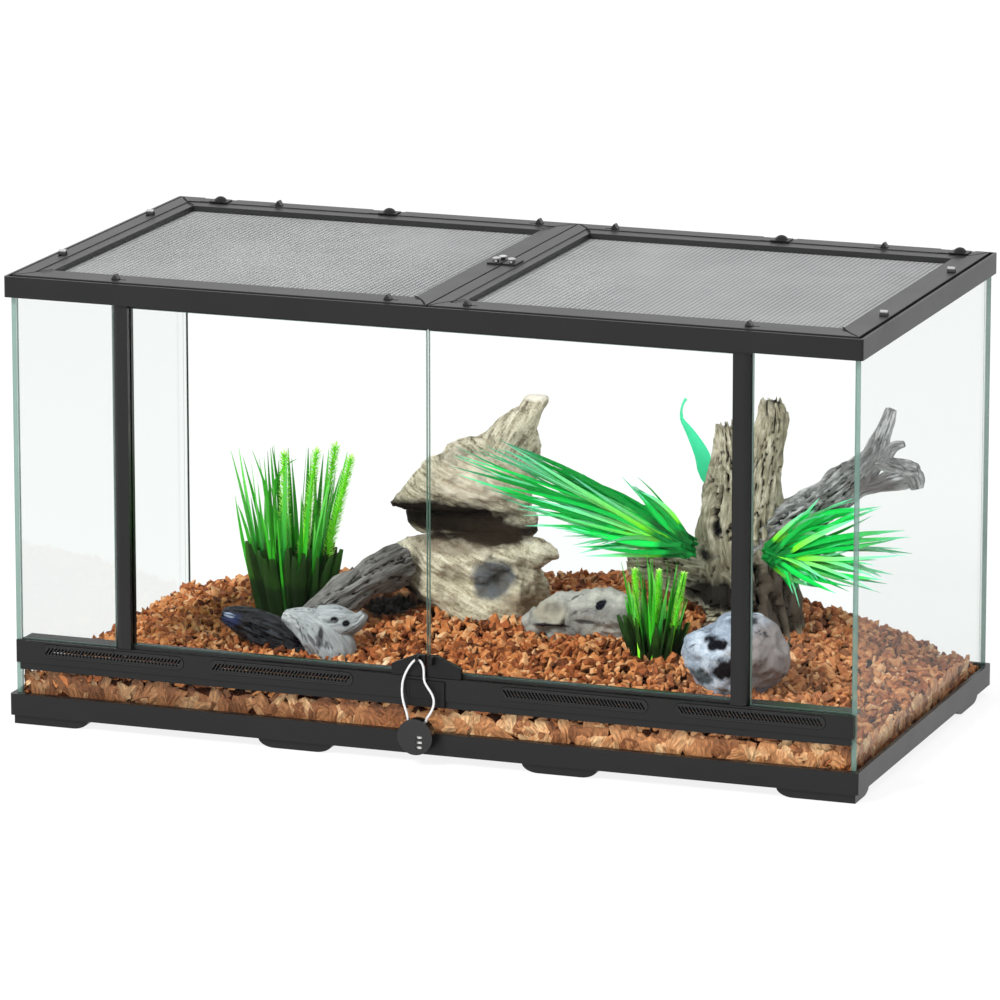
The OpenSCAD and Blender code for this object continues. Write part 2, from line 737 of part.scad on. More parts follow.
// A tube of s sides swept along points, closed at both ends
module tube(points, r, s) {
    n = len(points);
    dirs = [for (i = [0:n - 1]) unit(points[min(i + 1, n - 1)] - points[max(i - 1, 0)])];
    side = [0, 1, 0];
    rings = [for (i = [0:n - 1]) let (u = unit(cross(dirs[i], side)), v = cross(dirs[i], u))
        for (k = [0:s - 1]) points[i] + r * (cos(360 * k / s) * u + sin(360 * k / s) * v)];
    walls = [for (i = [0:n - 2]) for (k = [0:s - 1]) let (a = i * s + k, b = i * s + (k + 1) % s)
        each [[a, b, b + s], [a, b + s, a + s]]];
    ends = [[for (k = [s - 1:-1:0]) k], [for (k = [0:s - 1]) (n - 1) * s + k]];
    polyhedron(points = rings, faces = concat(walls, ends), convexity = 4);
}

module lock_cable() {
    color("#d9d9d6") translate([0, front_y, 0]) tube(cable_route, cable_d / 2, 8);
}

// ---- Lids: every module makes the right lid's piece -------------------------------------------

// Frame of four rails: a box with a smaller box taken out
module ring(x0, x1, y0, y1, z0, z1, side0, side1, front) {
    difference() {
        box(x0, x1, y0, y1, z0, z1);
        box(x0 + side0, x1 - side1, y0 + front, y1 - front, z0 - cut, z1 + cut);
    }
}

// Places of a lid's clips: middle of the slot, turn of the slot, and end where the clip rests
function clip_places(side) = [
    [side * clip_out_x, lid_y0 + clip_edge, 0, -1],
    [side * clip_in_x, lid_y0 + clip_edge, 0, -1],
    [side * clip_in_x, lid_y1 - clip_edge, 0, 1],
    [side * clip_out_x, lid_y1 - clip_edge, 0, 1],
    [side * (lid_x1 - clip_side_edge), mid_y - clip_side_y, 90, -side],
    [side * (lid_x1 - clip_side_edge), mid_y + clip_side_y, 90, -side]
];

module lid_frame(side) {
    w = rail_wall;
    slot_l = stem_l + clip_travel + 2 * slide_gap;
    slot_wide = stem_w + 2 * slide_gap;
    color("#3c3c3c") difference() {
        mirror([side < 0 ? 1 : 0, 0, 0]) difference() {
            union() {
                ring(lid_x0, lid_x1, lid_y0, lid_y1, lid_z0, lid_inner_top,
                    rail_mid_w, rail_side_w, rail_front_w);
                ring(lid_x0, lid_x1, lid_y0, lid_y1, lid_inner_top - cut, lid_top,
                    border_side_w, border_side_w, border_front_w);
            }
            // Hollow under the raised border, where the feet of the clips slide
            ring(lid_x0 + w, lid_x1 - w, lid_y0 + w, lid_y1 - w, lid_z0 - cut, hollow_z,
                hollow_side_w, hollow_side_w, hollow_front_w);
            // Seat of the mesh
            box(open_x0 - mesh_edge - pane_gap, open_x1 + mesh_edge + pane_gap,
                open_y0 - mesh_edge - pane_gap, open_y1 + mesh_edge + pane_gap,
                lid_z0 - cut, mesh_z + mesh_t);
            // Slot of the latch slider
            translate([latch_x, mid_y, 0]) box(-stem_w / 2 - slide_gap,
                stem_w / 2 + latch_travel + slide_gap, -stem_l / 2 - slide_gap,
                stem_l / 2 + slide_gap, hollow_z - cut, lid_top + cut);
        }
        for (p = clip_places(side)) translate([p.x, p.y, lid_top]) rotate([0, 0, p[2]])
            cube([slot_l, slot_wide, 4 * rail_top_t], center = true);
        for (c = inlet_places) if (c * side > 0) translate([c + shutter_rest, 0, 0]) {
            box(-inlet_l / 2, inlet_l / 2, inlet_y0, inlet_y0 + inlet_d, lid_z0 - cut, lid_top + cut);
            box(-stem_l / 2 - shutter_travel - slide_gap, stem_l / 2 + slide_gap,
                guide_y - stem_w / 2 - slide_gap, guide_y + stem_w / 2 + slide_gap,
                hollow_z - cut, lid_top + cut);
        }
    }
}

// The mesh as a plate with a plain grid of openings
module lid_mesh() {
    step_x = (open_x1 - open_x0) / mesh_cells;
    step_y = (open_y1 - open_y0) / mesh_cells;
    color("#b9b9b9") difference() {
        box(open_x0 - mesh_edge, open_x1 + mesh_edge, open_y0 - mesh_edge,
            open_y1 + mesh_edge, mesh_z, mesh_z + mesh_t);
        for (i = [0:mesh_cells - 1]) for (j = [0:mesh_cells - 1])
            translate([open_x0 + i * step_x, open_y0 + j * step_y, 0])
                box(mesh_bar / 2, step_x - mesh_bar / 2, mesh_bar / 2, step_y - mesh_bar / 2,
                    mesh_z - cut, mesh_z + mesh_t + cut);
    }
}

// Foot and stem shared by all that slides in a lid, at the place of the slot
module slide_foot(l) {
    foot_l = stem_l + 2.4;
    w = slide_foot_w;
    translate([-stem_l / 2, -stem_w / 2, hollow_z - slide_gap - clip_foot_t])
        cube([stem_l, stem_w, l + rail_top_t + slide_gap + clip_foot_t]);
    translate([-foot_l / 2, -w / 2, hollow_z - slide_gap - clip_foot_t])
        cube([foot_l, w, clip_foot_t]);
}

module lid_clip(side, i) {
    p = clip_places(side)[i - 1];
    color("#2c2c2c") translate([p.x, p.y, 0]) rotate([0, 0, p[2]])
        translate([p[3] * clip_travel / 2, 0, 0]) union() {
            slide_foot(2 * slide_gap);
            translate([0, clip_w / 2, lid_top + slide_gap]) rotate([90, 0, 0])
                linear_extrude(clip_w) polygon([
                    [-clip_l / 2, 0], [clip_l / 2, 0], [clip_l / 2, 1], [0.6, clip_h],
                    [-0.6, clip_h], [-clip_l / 2, 1]
                ]);
        }
}

module latch_plate() {
    color("#2c2c2c") difference() {
        box(lid_x0, lid_x0 + latch_l, mid_y - latch_d * 0.4, mid_y + latch_d * 0.6, lid_top,
            lid_top + latch_t);
        translate([latch_x, mid_y, 0]) box(-stem_w / 2 - slide_gap,
            stem_w / 2 + latch_travel + slide_gap, -stem_l / 2 - slide_gap,
            stem_l / 2 + slide_gap, lid_top - cut, lid_top + latch_t + cut);
    }
}

// Mushroom cap of the latch
module latch_cap(z) {
    translate([0, 0, z]) rotate_extrude() polygon([
        [0, 0], [2.4, 0], [2.4, 1.6], [latch_cap_r, 2.4], [latch_cap_r, 3.2], [2.6, 4], [0, 4]
    ]);
}

module latch_slider() {
    color("#8d8d8d") translate([latch_x, mid_y, 0]) union() {
        translate([-stem_w / 2, -stem_l / 2, hollow_z - slide_gap - clip_foot_t])
            cube([stem_w, stem_l, rail_top_t + latch_t + 3 * slide_gap + clip_foot_t]);
        translate([-slide_foot_w / 2, -stem_l / 2, hollow_z - slide_gap - clip_foot_t])
            cube([slide_foot_w, stem_l, clip_foot_t]);
        latch_cap(lid_top + latch_t + slide_gap);
    }
}

module left_latch_plate() {
    mirror([1, 0, 0]) latch_plate();
    color("#8d8d8d") translate([-lid_x0 - latch_cap_r, mid_y + latch_d * 0.44, 0])
        latch_cap(lid_top + latch_t);
}

module cable_shutter(i) {
    c = inlet_places[i - 1] + shutter_rest;
    r = sum2(dome_r, dome_h) / (2 * dome_h);
    y0 = guide_y - stem_w / 2 - 1.2;
    y1 = inlet_y0 + inlet_d + 2;
    z = lid_top + slide_gap;
    color("#262626") translate([c, 0, 0]) union() {
        translate([0, guide_y, 0]) slide_foot(slide_gap + shutter_t);
        box(-shutter_l / 2, shutter_l / 2, y0, y1, z, z + shutter_t);
        // Dome: the cap of a sphere
        translate([0, (y0 + y1) / 2, z + shutter_t]) intersection() {
            translate([0, 0, dome_h - r]) sphere(r);
            cylinder(h = dome_h + cut, r = dome_r + cut);
        }
    }
}

// ---- What lies inside ---------------------------------------------------------------------------

// The layout is drawn for a case of 910 x 465 x 468 on bark 57 high, and shrinks or grows with
// the case.
layout = min(frame_l / 910, frame_d / 465, frame_h / 468);

// Height of the bark at a place
function bark_top(x, y) = let (
    s = smooth((y - side_front_y) / (back_in_y - side_front_y)),
    right = mound_h * exp(-pow((x / layout - 150) / 140, 2)),
    left = mound_left_h * exp(-pow((x / layout + 120) / 170, 2)),
    edge = max(0, (abs(x) / glass_in_x - 0.74) / 0.26)
) bark_h + s * (right + left) - (x > 0 ? 30 : 18) * layout * pow(edge, 1.5);

module bark_mound(up) {
    nx = 26;
    ny = 12;
    x1 = glass_in_x - 0.4;
    y0 = pane_y1 + 0.4;
    y1 = back_in_y - 0.4;
    xs = [for (i = [0:nx]) -x1 + 2 * x1 * i / nx];
    ys = [for (j = [0:ny]) y0 + (y1 - y0) * j / ny];
    // By the vent strip the bark stays below it
    strip_back = strip_y0 + strip_d + (y1 - y0) / ny;
    top = [for (y = ys) for (x = xs)
        [x, y, min(bark_top(x, y), y < strip_back ? strip_z - 0.4 : frame_h) + up]];
    low = [for (y = ys) for (x = xs) [x, y, bark_z0]];
    m = (nx + 1) * (ny + 1);
    row = nx + 1;
    cells = [for (j = [0:ny - 1]) for (i = [0:nx - 1]) let (a = j * row + i)
        each [[a, a + row, a + row + 1], [a, a + row + 1, a + 1],
              [m + a, m + a + row + 1, m + a + row], [m + a, m + a + 1, m + a + row + 1]]];
    front = [for (i = [0:nx - 1]) each [[i, i + 1, m + i + 1], [i, m + i + 1, m + i]]];
    last = ny * row;
    back = [for (i = [0:nx - 1]) let (a = last + i)
        each [[a, m + a, m + a + 1], [a, m + a + 1, a + 1]]];
    left = [for (j = [0:ny - 1]) let (a = j * row)
        each [[a, m + a, m + a + row], [a, m + a + row, a + row]]];
    right = [for (j = [0:ny - 1]) let (a = j * row + nx)
        each [[a, a + row, m + a + row], [a, m + a + row, m + a]]];
    polyhedron(points = concat(top, low), faces = concat(cells, front, back, left, right));
}

module substrate() {
    color("#8a5a3c") bark_mound(0);
}

// A rounded lump: the hull of balls, each given as [x, y, z, radius]
module lump(balls) {
    hull() for (b = balls) translate([b.x, b.y, b.z]) sphere(r = b[3], $fn = 14);
}

// Puts the layout in its place, and takes away what is under the surface of the bark with a
// hair of clearance
module on_bark() {
    difference() {
        translate([0, 0, bark_h]) scale(layout) translate([0, 0, -57]) union() children();
        bark_mound(0.2);
    }
}

module layered_rock() {
    color("#9c9184") on_bark() {
        // Lower slab and its foot
        lump([[-150, 106, 130, 15], [-100, 92, 126, 32], [-50, 88, 130, 34], [0, 108, 140, 20],
            [10, 112, 138, 12], [-120, 108, 100, 18]]);
        lump([[-100, 84, 100, 26], [-60, 76, 88, 24], [-24, 78, 84, 22], [-8, 112, 90, 20],
            [-40, 146, 92, 26], [-110, 130, 92, 20], [-20, 100, 118, 26]]);
        // Neck in the shade between the slabs
        lump([[-108, 138, 164, 18], [-60, 132, 168, 24], [-34, 128, 166, 22]]);
        // Upper slab and its horn
        lump([[-158, 114, 184, 9], [-122, 118, 206, 24], [-86, 120, 218, 28], [-44, 122, 222, 30],
            [-24, 118, 196, 14], [-90, 118, 196, 16]]);
        lump([[-40, 122, 240, 30], [-28, 121, 268, 21], [-7, 120, 296, 11]]);
    }
}

module loose_rocks() {
    color("#8d9096") on_bark() {
        lump([[26, 38, 84, 18], [50, 36, 100, 20], [92, 34, 106, 23], [120, 32, 108, 24],
            [124, 34, 86, 18]]);
        lump([[248, -62, 96, 30], [280, -58, 100, 44], [304, -60, 98, 28], [276, -60, 84, 38]]);
    }
}

module driftwood() {
    color("#7d7266") on_bark() {
        // Stump with its short and long branches
        lump([[216, 128, 106, 34], [238, 130, 150, 30], [212, 128, 180, 34], [182, 124, 160, 24]]);
        lump([[199, 130, 192, 40], [208, 130, 230, 31], [202, 128, 268, 16]]);
        lump([[220, 130, 215, 24], [232, 129, 262, 18], [246, 128, 300, 15]]);
        lump([[106, 122, 138, 14], [140, 122, 138, 18], [186, 124, 130, 26], [214, 126, 110, 30]]);
        lump([[244, 134, 172, 26], [300, 137, 212, 19], [342, 140, 248, 19]]);
        lump([[342, 140, 258, 14], [360, 140, 284, 12], [374, 140, 308, 8]]);
        lump([[342, 140, 246, 14], [384, 140, 250, 13], [396, 140, 248, 13]]);
        // Pale and dark wood by the left front
        lump([[-268, -58, 86, 12], [-240, -60, 82, 14], [-200, -64, 68, 14], [-182, -64, 64, 10]]);
        lump([[-205, -66, 86, 14], [-190, -66, 101, 13], [-140, -68, 100, 10], [-158, -72, 70, 16]]);
        lump([[-185, -44, 96, 14], [-160, -5, 112, 15], [-162, 38, 120, 14]]);
    }
}

module grass_tuft(x, y, r1, r2, h) {
    translate([x, y, 52]) cylinder(h = h, r1 = r1, r2 = r2);
}

// Foliage on a stem that stands in the bark
module plant_stem(x, y, h, r) {
    translate([x, y, 55]) cylinder(h = h, r = r);
}

module plants() {
    color("#3f9a3a") on_bark() {
        grass_tuft(-246, 35, 38, 58, 195);
        grass_tuft(172, -15, 24, 42, 132);
        // Leafy bushes on both sides of the stump
        plant_stem(190, 46, 120, 4);
        lump([[186, 46, 176, 10], [130, 48, 198, 13], [60, 50, 216, 15]]);
        lump([[60, 50, 216, 14], [0, 50, 240, 12], [-72, 50, 264, 3]]);
        lump([[150, 48, 184, 8], [60, 50, 166, 6], [0, 50, 190, 4]]);
        plant_stem(284, 50, 125, 4);
        lump([[280, 50, 184, 12], [330, 52, 206, 20], [360, 50, 234, 4], [422, 50, 210, 4]]);
        lump([[288, 50, 168, 12], [340, 50, 172, 16], [400, 50, 156, 4], [420, 50, 188, 4]]);
        // Broad leaf behind the stump
        plant_stem(163, 170, 175, 2.5);
        lump([[163, 170, 226, 3], [167, 170, 250, 11], [150, 170, 280, 8], [144, 170, 304, 2]]);
    }
}

// ---- One line for each piece ----------------------------------------------------------------------

base_frame();
feet();
bottom_glass();
back_glass();
side_glass();
front_lower_glass();
front_side_panes();
vent_strip(strip_z - cut, window_z0);  // vent_strip_base
vent_strip(window_z0, window_z1);  // vent_strip_posts
vent_strip(window_z1, strip_top + cut);  // vent_strip_top
vent_grilles();
strip_plate();
top_frame();
cross_bar();
substrate();
layered_rock();
loose_rocks();
driftwood();
plants();

door_stile();  // left_door_stile
door_glass();  // left_door_glass
door_handle();  // left_door_handle
door_pins();  // left_door_pins
door_seals();  // left_door_seals
mirror([1, 0, 0]) door_stile();  // right_door_stile
mirror([1, 0, 0]) door_glass();  // right_door_glass
mirror([1, 0, 0]) door_handle();  // right_door_handle
mirror([1, 0, 0]) door_pins();  // right_door_pins
mirror([1, 0, 0]) door_seals();  // right_door_seals

lock_body();
lock_back();
lock_axle();
lock_cable();
number_wheel(0);  // number_wheel_1
number_wheel(1);  // number_wheel_2
number_wheel(2);  // number_wheel_3

lid_frame(-1);  // left_lid_frame
mirror([1, 0, 0]) lid_mesh();  // left_lid_mesh
left_latch_plate();
mirror([1, 0, 0]) latch_slider();  // left_latch_slider
lid_frame(1);  // right_lid_frame
lid_mesh();  // right_lid_mesh
latch_plate();  // right_latch_plate
latch_slider();  // right_latch_slider
lid_clip(-1, 1);  // left_clip_1
lid_clip(-1, 2);  // left_clip_2
lid_clip(-1, 3);  // left_clip_3
lid_clip(-1, 4);  // left_clip_4
lid_clip(-1, 5);  // left_clip_5
lid_clip(-1, 6);  // left_clip_6
lid_clip(1, 1);  // right_clip_1
lid_clip(1, 2);  // right_clip_2
lid_clip(1, 3);  // right_clip_3
lid_clip(1, 4);  // right_clip_4
lid_clip(1, 5);  // right_clip_5
lid_clip(1, 6);  // right_clip_6
cable_shutter(1);  // cable_shutter_1
cable_shutter(2);  // cable_shutter_2
cable_shutter(3);  // cable_shutter_3
cable_shutter(4);  // cable_shutter_4
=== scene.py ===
# %% [markdown]
# # A glass terrarium with a planted bark floor
# The real thing is a case of float glass held by two black plastic frames, with two swing
# doors, two mesh lids and a small cable lock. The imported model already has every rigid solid
# in place. This notebook gives each of them its finish, rounds the edges that catch light,
# and grows what a plain solid can't show: bark, rock, driftwood, grass and leaves.

# %% Load the fixed frame
import json
import math
import random

import bmesh
import bpy
import numpy as np
from mathutils import Matrix, Vector, noise

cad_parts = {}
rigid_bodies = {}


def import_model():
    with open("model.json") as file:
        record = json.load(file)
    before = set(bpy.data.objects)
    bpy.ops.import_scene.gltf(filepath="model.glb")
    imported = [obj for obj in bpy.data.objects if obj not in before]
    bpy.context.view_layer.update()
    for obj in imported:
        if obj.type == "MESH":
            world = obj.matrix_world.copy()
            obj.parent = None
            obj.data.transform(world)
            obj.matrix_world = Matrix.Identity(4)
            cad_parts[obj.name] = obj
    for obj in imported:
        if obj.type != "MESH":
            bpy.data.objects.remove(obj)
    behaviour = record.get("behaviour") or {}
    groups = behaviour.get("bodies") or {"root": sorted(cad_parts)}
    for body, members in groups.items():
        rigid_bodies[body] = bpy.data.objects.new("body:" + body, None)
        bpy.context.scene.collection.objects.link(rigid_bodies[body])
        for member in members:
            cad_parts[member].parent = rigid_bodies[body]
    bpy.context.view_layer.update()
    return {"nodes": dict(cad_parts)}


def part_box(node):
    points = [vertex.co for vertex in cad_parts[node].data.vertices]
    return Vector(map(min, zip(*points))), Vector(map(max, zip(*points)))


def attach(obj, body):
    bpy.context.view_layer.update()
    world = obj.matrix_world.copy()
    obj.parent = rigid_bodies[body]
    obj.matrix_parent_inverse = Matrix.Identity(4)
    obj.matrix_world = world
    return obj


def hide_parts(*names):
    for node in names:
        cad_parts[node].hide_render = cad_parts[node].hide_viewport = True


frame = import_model()
scene = bpy.context.scene
mm = 0.001
front_y = -225.0

# %% [markdown]
# ## Where the viewer stands
# A product like this is drawn from far away with a long lens, so that its edges stay almost
# parallel. The camera looks down by 13 degrees and stands 20 degrees to the right of the
# front. Its three directions are worked out from those two angles.

# %% Camera
yaw, pitch = math.radians(20.068), math.radians(13.140)
view_right = Vector((math.cos(yaw), math.sin(yaw), 0))
view_back = Vector((math.sin(yaw) * math.cos(pitch), -math.cos(yaw) * math.cos(pitch),
                    math.sin(pitch)))
view_up = view_back.cross(view_right)
lens = bpy.data.cameras.new("viewer")
lens.lens = 259.4
lens.sensor_width = 36
lens.clip_start, lens.clip_end = 0.1, 200
viewer = bpy.data.objects.new("viewer", lens)
viewer.matrix_world = Matrix.LocRotScale(
    Vector((2.4709, -6.7692, 1.9049)),
    Matrix((view_right, view_up, view_back)).transposed().to_quaternion(), None)
scene.collection.objects.link(viewer)
scene.camera = viewer
print("camera distance", round(viewer.location.length, 3))

# %% [markdown]
# ## Maths with sockets
# A procedural finish is a sum of patterns. Wiring each Math node by hand hides the formula,
# so one small class lets sockets be added and multiplied like numbers, and one method adds
# any other node with its inputs.

# %% Helpers for materials
class Term:
    """An output socket that takes part in sums."""

    def __init__(self, paint, socket):
        self.paint, self.socket = paint, socket

    def _maths(self, how, a, b):
        return self.paint.node("ShaderNodeMath", [a, b], operation=how)

    def __add__(self, b): return self._maths("ADD", self, b)
    def __radd__(self, a): return self._maths("ADD", a, self)
    def __sub__(self, b): return self._maths("SUBTRACT", self, b)
    def __rsub__(self, a): return self._maths("SUBTRACT", a, self)
    def __mul__(self, b): return self._maths("MULTIPLY", self, b)
    def __rmul__(self, a): return self._maths("MULTIPLY", a, self)
    def __truediv__(self, b): return self._maths("DIVIDE", self, b)
    def __rtruediv__(self, a): return self._maths("DIVIDE", a, self)
    def __gt__(self, b): return self._maths("GREATER_THAN", self, b)
    def __lt__(self, b): return self._maths("LESS_THAN", self, b)
    def least(self, b): return self._maths("MINIMUM", self, b)
    def most(self, b): return self._maths("MAXIMUM", self, b)


class Paint:
    """A node tree under construction. It starts empty."""

    def __init__(self, owner):
        owner.use_nodes = True
        self.owner, self.tree = owner, owner.node_tree
        self.tree.nodes.clear()

    def node(self, kind, inputs=(), out=0, **settings):
        made = self.tree.nodes.new(kind)
        for key, value in settings.items():
            setattr(made, key, value)
        pairs = inputs.items() if isinstance(inputs, dict) else enumerate(inputs)
        for key, value in pairs:
            if isinstance(value, Term):
                self.tree.links.new(value.socket, made.inputs[key])
            elif value is not None:
                made.inputs[key].default_value = value
        return Term(self, made.outputs[out]) if len(made.outputs) else made

    def vectors(self, how, *inputs, out=0):
        return self.node("ShaderNodeVectorMath", inputs, out=out, operation=how)

    def axis(self, vector, which):
        return self.node("ShaderNodeSeparateXYZ", [vector], out=which)

    def point(self):
        """The point in the object's own space, in metres."""
        return self.node("ShaderNodeTexCoord", out="Object")

    def place(self, stretch=(1, 1, 1)):
        """The same point with a stretch for each axis."""
        return self.vectors("MULTIPLY", self.point(), stretch)

    def stored(self, name, out="Fac"):
        return self.node("ShaderNodeAttribute", out=out, attribute_name=name)

    def noise(self, where, scale, detail=3.0, rough=0.5):
        return self.node("ShaderNodeTexNoise", {"Vector": where, "Scale": scale, "Detail": detail,
                                                "Roughness": rough})

    def ramp(self, value, *stops):
        """A colour or a grey for each stop: (place, colour)."""
        term = self.node("ShaderNodeValToRGB", [value])
        band = term.socket.node.color_ramp.elements
        for i, (at, colour) in enumerate(stops):
            mark = band[i] if i < 2 else band.new(at)
            mark.position = at
            mark.color = colour if isinstance(colour, tuple) else (colour,) * 3 + (1,)
        return term

    def blend(self, amount, a, b):
        return self.node("ShaderNodeMix", {0: amount, 6: a, 7: b}, out=2, data_type="RGBA")

    def product(self, a, b):
        """A colour times another colour or a grey."""
        return self.node("ShaderNodeMix", {0: 1.0, 6: a, 7: b}, out=2, data_type="RGBA",
                         blend_type="MULTIPLY")

    def turned(self, degrees, stretch):
        """The point turned in the upright plane, then stretched."""
        angle = math.radians(degrees)
        there = self.node("ShaderNodeVectorRotate", {"Vector": self.point(), "Angle": angle},
                          rotation_type="Y_AXIS")
        return self.vectors("MULTIPLY", there, stretch)

    def near(self, x, y, z, rx, ry, rz, edge=0.5, ragged=0.5):
        """One inside an ellipsoid given in millimetres, and zero outside, with a ragged edge."""
        off = self.vectors("SUBTRACT", self.point(), (x * mm, y * mm, z * mm))
        scaled = self.vectors("MULTIPLY", off, (1000 / rx, 1000 / ry, 1000 / rz))
        far = self.vectors("LENGTH", scaled, out="Value")
        far = far + ragged * (self.noise(self.place(), 90.0, 4.0) - 0.5)
        return self.ramp(far, (1 - edge, 1.0), (1.0, 0.0))

    def marked(self, tone, *marks):
        """Lays marks over a colour. A mark is a colour, the ellipsoid it fills and a strength."""
        for colour, where, share in marks:
            tone = self.blend(self.near(*where) * share, tone, colour)
        return tone

    def bump(self, height, strength, depth):
        return self.node("ShaderNodeBump", {"Height": height, "Strength": strength,
                                            "Distance": depth})

    def surface(self, shader):
        self.node("ShaderNodeOutputMaterial", {"Surface": shader})
        return self.owner

    def finish(self, colour, rough, metal=0.0, normal=None, specular=0.5, alpha=None):
        """The material with one Principled shader."""
        return self.surface(self.node("ShaderNodeBsdfPrincipled", {
            "Base Color": colour, "Roughness": rough, "Metallic": metal, "Normal": normal,
            "Specular IOR Level": specular, "Alpha": alpha}))


def rgb(r, g, b):
    """A colour written as it looks on a screen, 0 to 255, for a shader."""
    linear = (((c / 255 + 0.055) / 1.055) ** 2.4 if c > 10 else c / 3294.6 for c in (r, g, b))
    return (*linear, 1)


def new_paint(name):
    return Paint(bpy.data.materials.new(name))

# %% [markdown]
# ## Helpers for pieces
# Each piece ends as a plain mesh that rides on one body, takes its finish from its own materials
# and hides the solid that it stands for.

# %% Helpers for pieces
def piece(name, mesh, body, slot, *nodes):
    made = bpy.data.objects.new(name, mesh)
    scene.collection.objects.link(made)
    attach(made, body)
    if nodes:
        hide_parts(*nodes)
    return made


def mesh_of(name, points, faces, *materials):
    """A mesh from points in millimetres."""
    mesh = bpy.data.meshes.new(name)
    mesh.from_pydata([tuple(c * mm for c in p) for p in points], [], faces)
    for material in materials:
        mesh.materials.append(material)
    return mesh


def written(work, name, *materials):
    """A new mesh from a bmesh, which is then done with."""
    mesh = bpy.data.meshes.new(name)
    work.to_mesh(mesh)
    work.free()
    for material in materials:
        mesh.materials.append(material)
    return mesh


def on_trial(data):
    """An object that is in the scene only until it is evaluated."""
    trial = bpy.data.objects.new("trial", data)
    scene.collection.objects.link(trial)
    return trial


def evaluated(trial):
    """The trial object as a plain mesh, with its modifiers applied."""
    graph = bpy.context.evaluated_depsgraph_get()
    result = bpy.data.meshes.new_from_object(trial.evaluated_get(graph))
    bpy.data.objects.remove(trial)
    return result


def baked(mesh, *changes):
    """The mesh after some modifiers: each change is a kind and its settings."""
    trial = on_trial(mesh)
    for kind, settings in changes:
        modifier = trial.modifiers.new(kind.lower(), kind)
        for key, value in settings.items():
            setattr(modifier, key, value)
    return evaluated(trial)


def repaint(node, material):
    """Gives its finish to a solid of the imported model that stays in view."""
    materials = frame["nodes"][node].data.materials
    materials.clear()
    materials.append(material)


def gathered(parts):
    """One part from many. A part has points, faces and some lists of values for the points."""
    whole = [[] for _ in parts[0]]
    for points, faces, *values in parts:
        start = len(whole[0])
        whole[0] += points
        whole[1] += [tuple(i + start for i in face) for face in faces]
        for kept, more in zip(whole[2:], values):
            kept += more
    return whole


def smooth(mesh, angle=40):
    mesh.polygons.foreach_set("use_smooth", [True] * len(mesh.polygons))
    mesh.set_sharp_from_angle(angle=math.radians(angle))
    return mesh


def keep_value(mesh, name, values, kind="FLOAT"):
    """Stores one value for each point of a mesh, for the material to read."""
    layer = mesh.attributes.new(name, kind, "POINT")
    layer.data.foreach_set("vector" if kind == "FLOAT_VECTOR" else "value",
                           np.asarray(values, np.float32).ravel())

# %% [markdown]
# ## The lock's cable
# A cord comes first, because the model would have to move if it didn't fit. It is a short
# loop of plastic-covered steel that leaves the lock, goes up through the lug on the left
# door and back into the lock. It springs open, so it stands in a stiff oval.

# %% Lock cable
cable_route = [
    (-15, -8.5, 42), (-15, -8.5, 47), (-16.3, -8, 52.5), (-19, -6.5, 58.5), (-21.8, -4, 64.5),
    (-23.6, -2, 71), (-24, -0.8, 78), (-23, -0.5, 85), (-20.7, -0.5, 91.5), (-17.6, -0.5, 97.5),
    (-14.2, -0.5, 102.5), (-11, -0.5, 105.8), (-7.5, -0.5, 106.9), (-4.4, -0.5, 105.7),
    (-1.9, -0.5, 101.5), (-0.9, -0.5, 96.5), (-0.8, -0.5, 91.8), (-0.6, -0.6, 87.6),
    (0.9, -0.9, 83.4), (4.1, -1.6, 79), (7.6, -2.6, 74.8), (10.4, -3.8, 70.2),
    (11.5, -5.2, 64.8), (10.6, -6.6, 59.4), (8.2, -7.7, 54.2), (5.5, -8.4, 49.8),
    (4.2, -8.5, 46), (4.2, -8.5, 42),
]
cable_line = bpy.data.curves.new("lock_cable_line", "CURVE")
cable_line.dimensions = "3D"
cable_line.bevel_depth = 1.3 * mm
cable_line.bevel_resolution = 4
cable_line.resolution_u = 5
cable_line.use_fill_caps = True
strand = cable_line.splines.new("BEZIER")
strand.bezier_points.add(len(cable_route) - 1)
for knot, (x, y, z) in zip(strand.bezier_points, cable_route):
    knot.co = (x * mm, (front_y + y) * mm, z * mm)
    knot.handle_left_type = knot.handle_right_type = "AUTO"
paint = new_paint("cable_sheath")
twist = paint.node(
    "ShaderNodeTexWave",
    {"Vector": paint.place(), "Scale": 420.0, "Distortion": 0.6},
    out="Fac", wave_type="BANDS", bands_direction="DIAGONAL")
cable_line.materials.append(paint.finish(paint.blend(twist, rgb(190, 190, 190), rgb(240, 240, 240)),
                                   0.22, metal=0.55, normal=paint.bump(twist, 0.35, 0.0003)))
cable = piece("lock_cable_loop", cable_line, "cable_lock", "steel", "lock_cable")

# %% [markdown]
# ## Studio
# The case stands on a white floor in white surroundings, which light it evenly from all
# sides. One large lamp above the front left gives the shapes their shade. Rays that come from
# the camera, from a reflection or through glass see the floor as it is named: white.

# %% Floor, surroundings and lamps
def seen_directly(paint):
    """One where the ray comes from the camera, a reflection or through glass."""
    rays = paint.tree.nodes.new("ShaderNodeLightPath")
    names = "Is Camera Ray", "Is Glossy Ray", "Is Transmission Ray"
    kinds = [Term(paint, rays.outputs[name]) for name in names]
    return kinds[0].most(kinds[1]).most(kinds[2])


surroundings = bpy.data.worlds.new("white_surroundings")
scene.world = surroundings
paint = Paint(surroundings)
level = 0.95 + 0.05 * seen_directly(paint)
sky = paint.node("ShaderNodeBackground", {"Color": (1, 1, 1, 1), "Strength": level})
paint.node("ShaderNodeOutputWorld", {"Surface": sky})

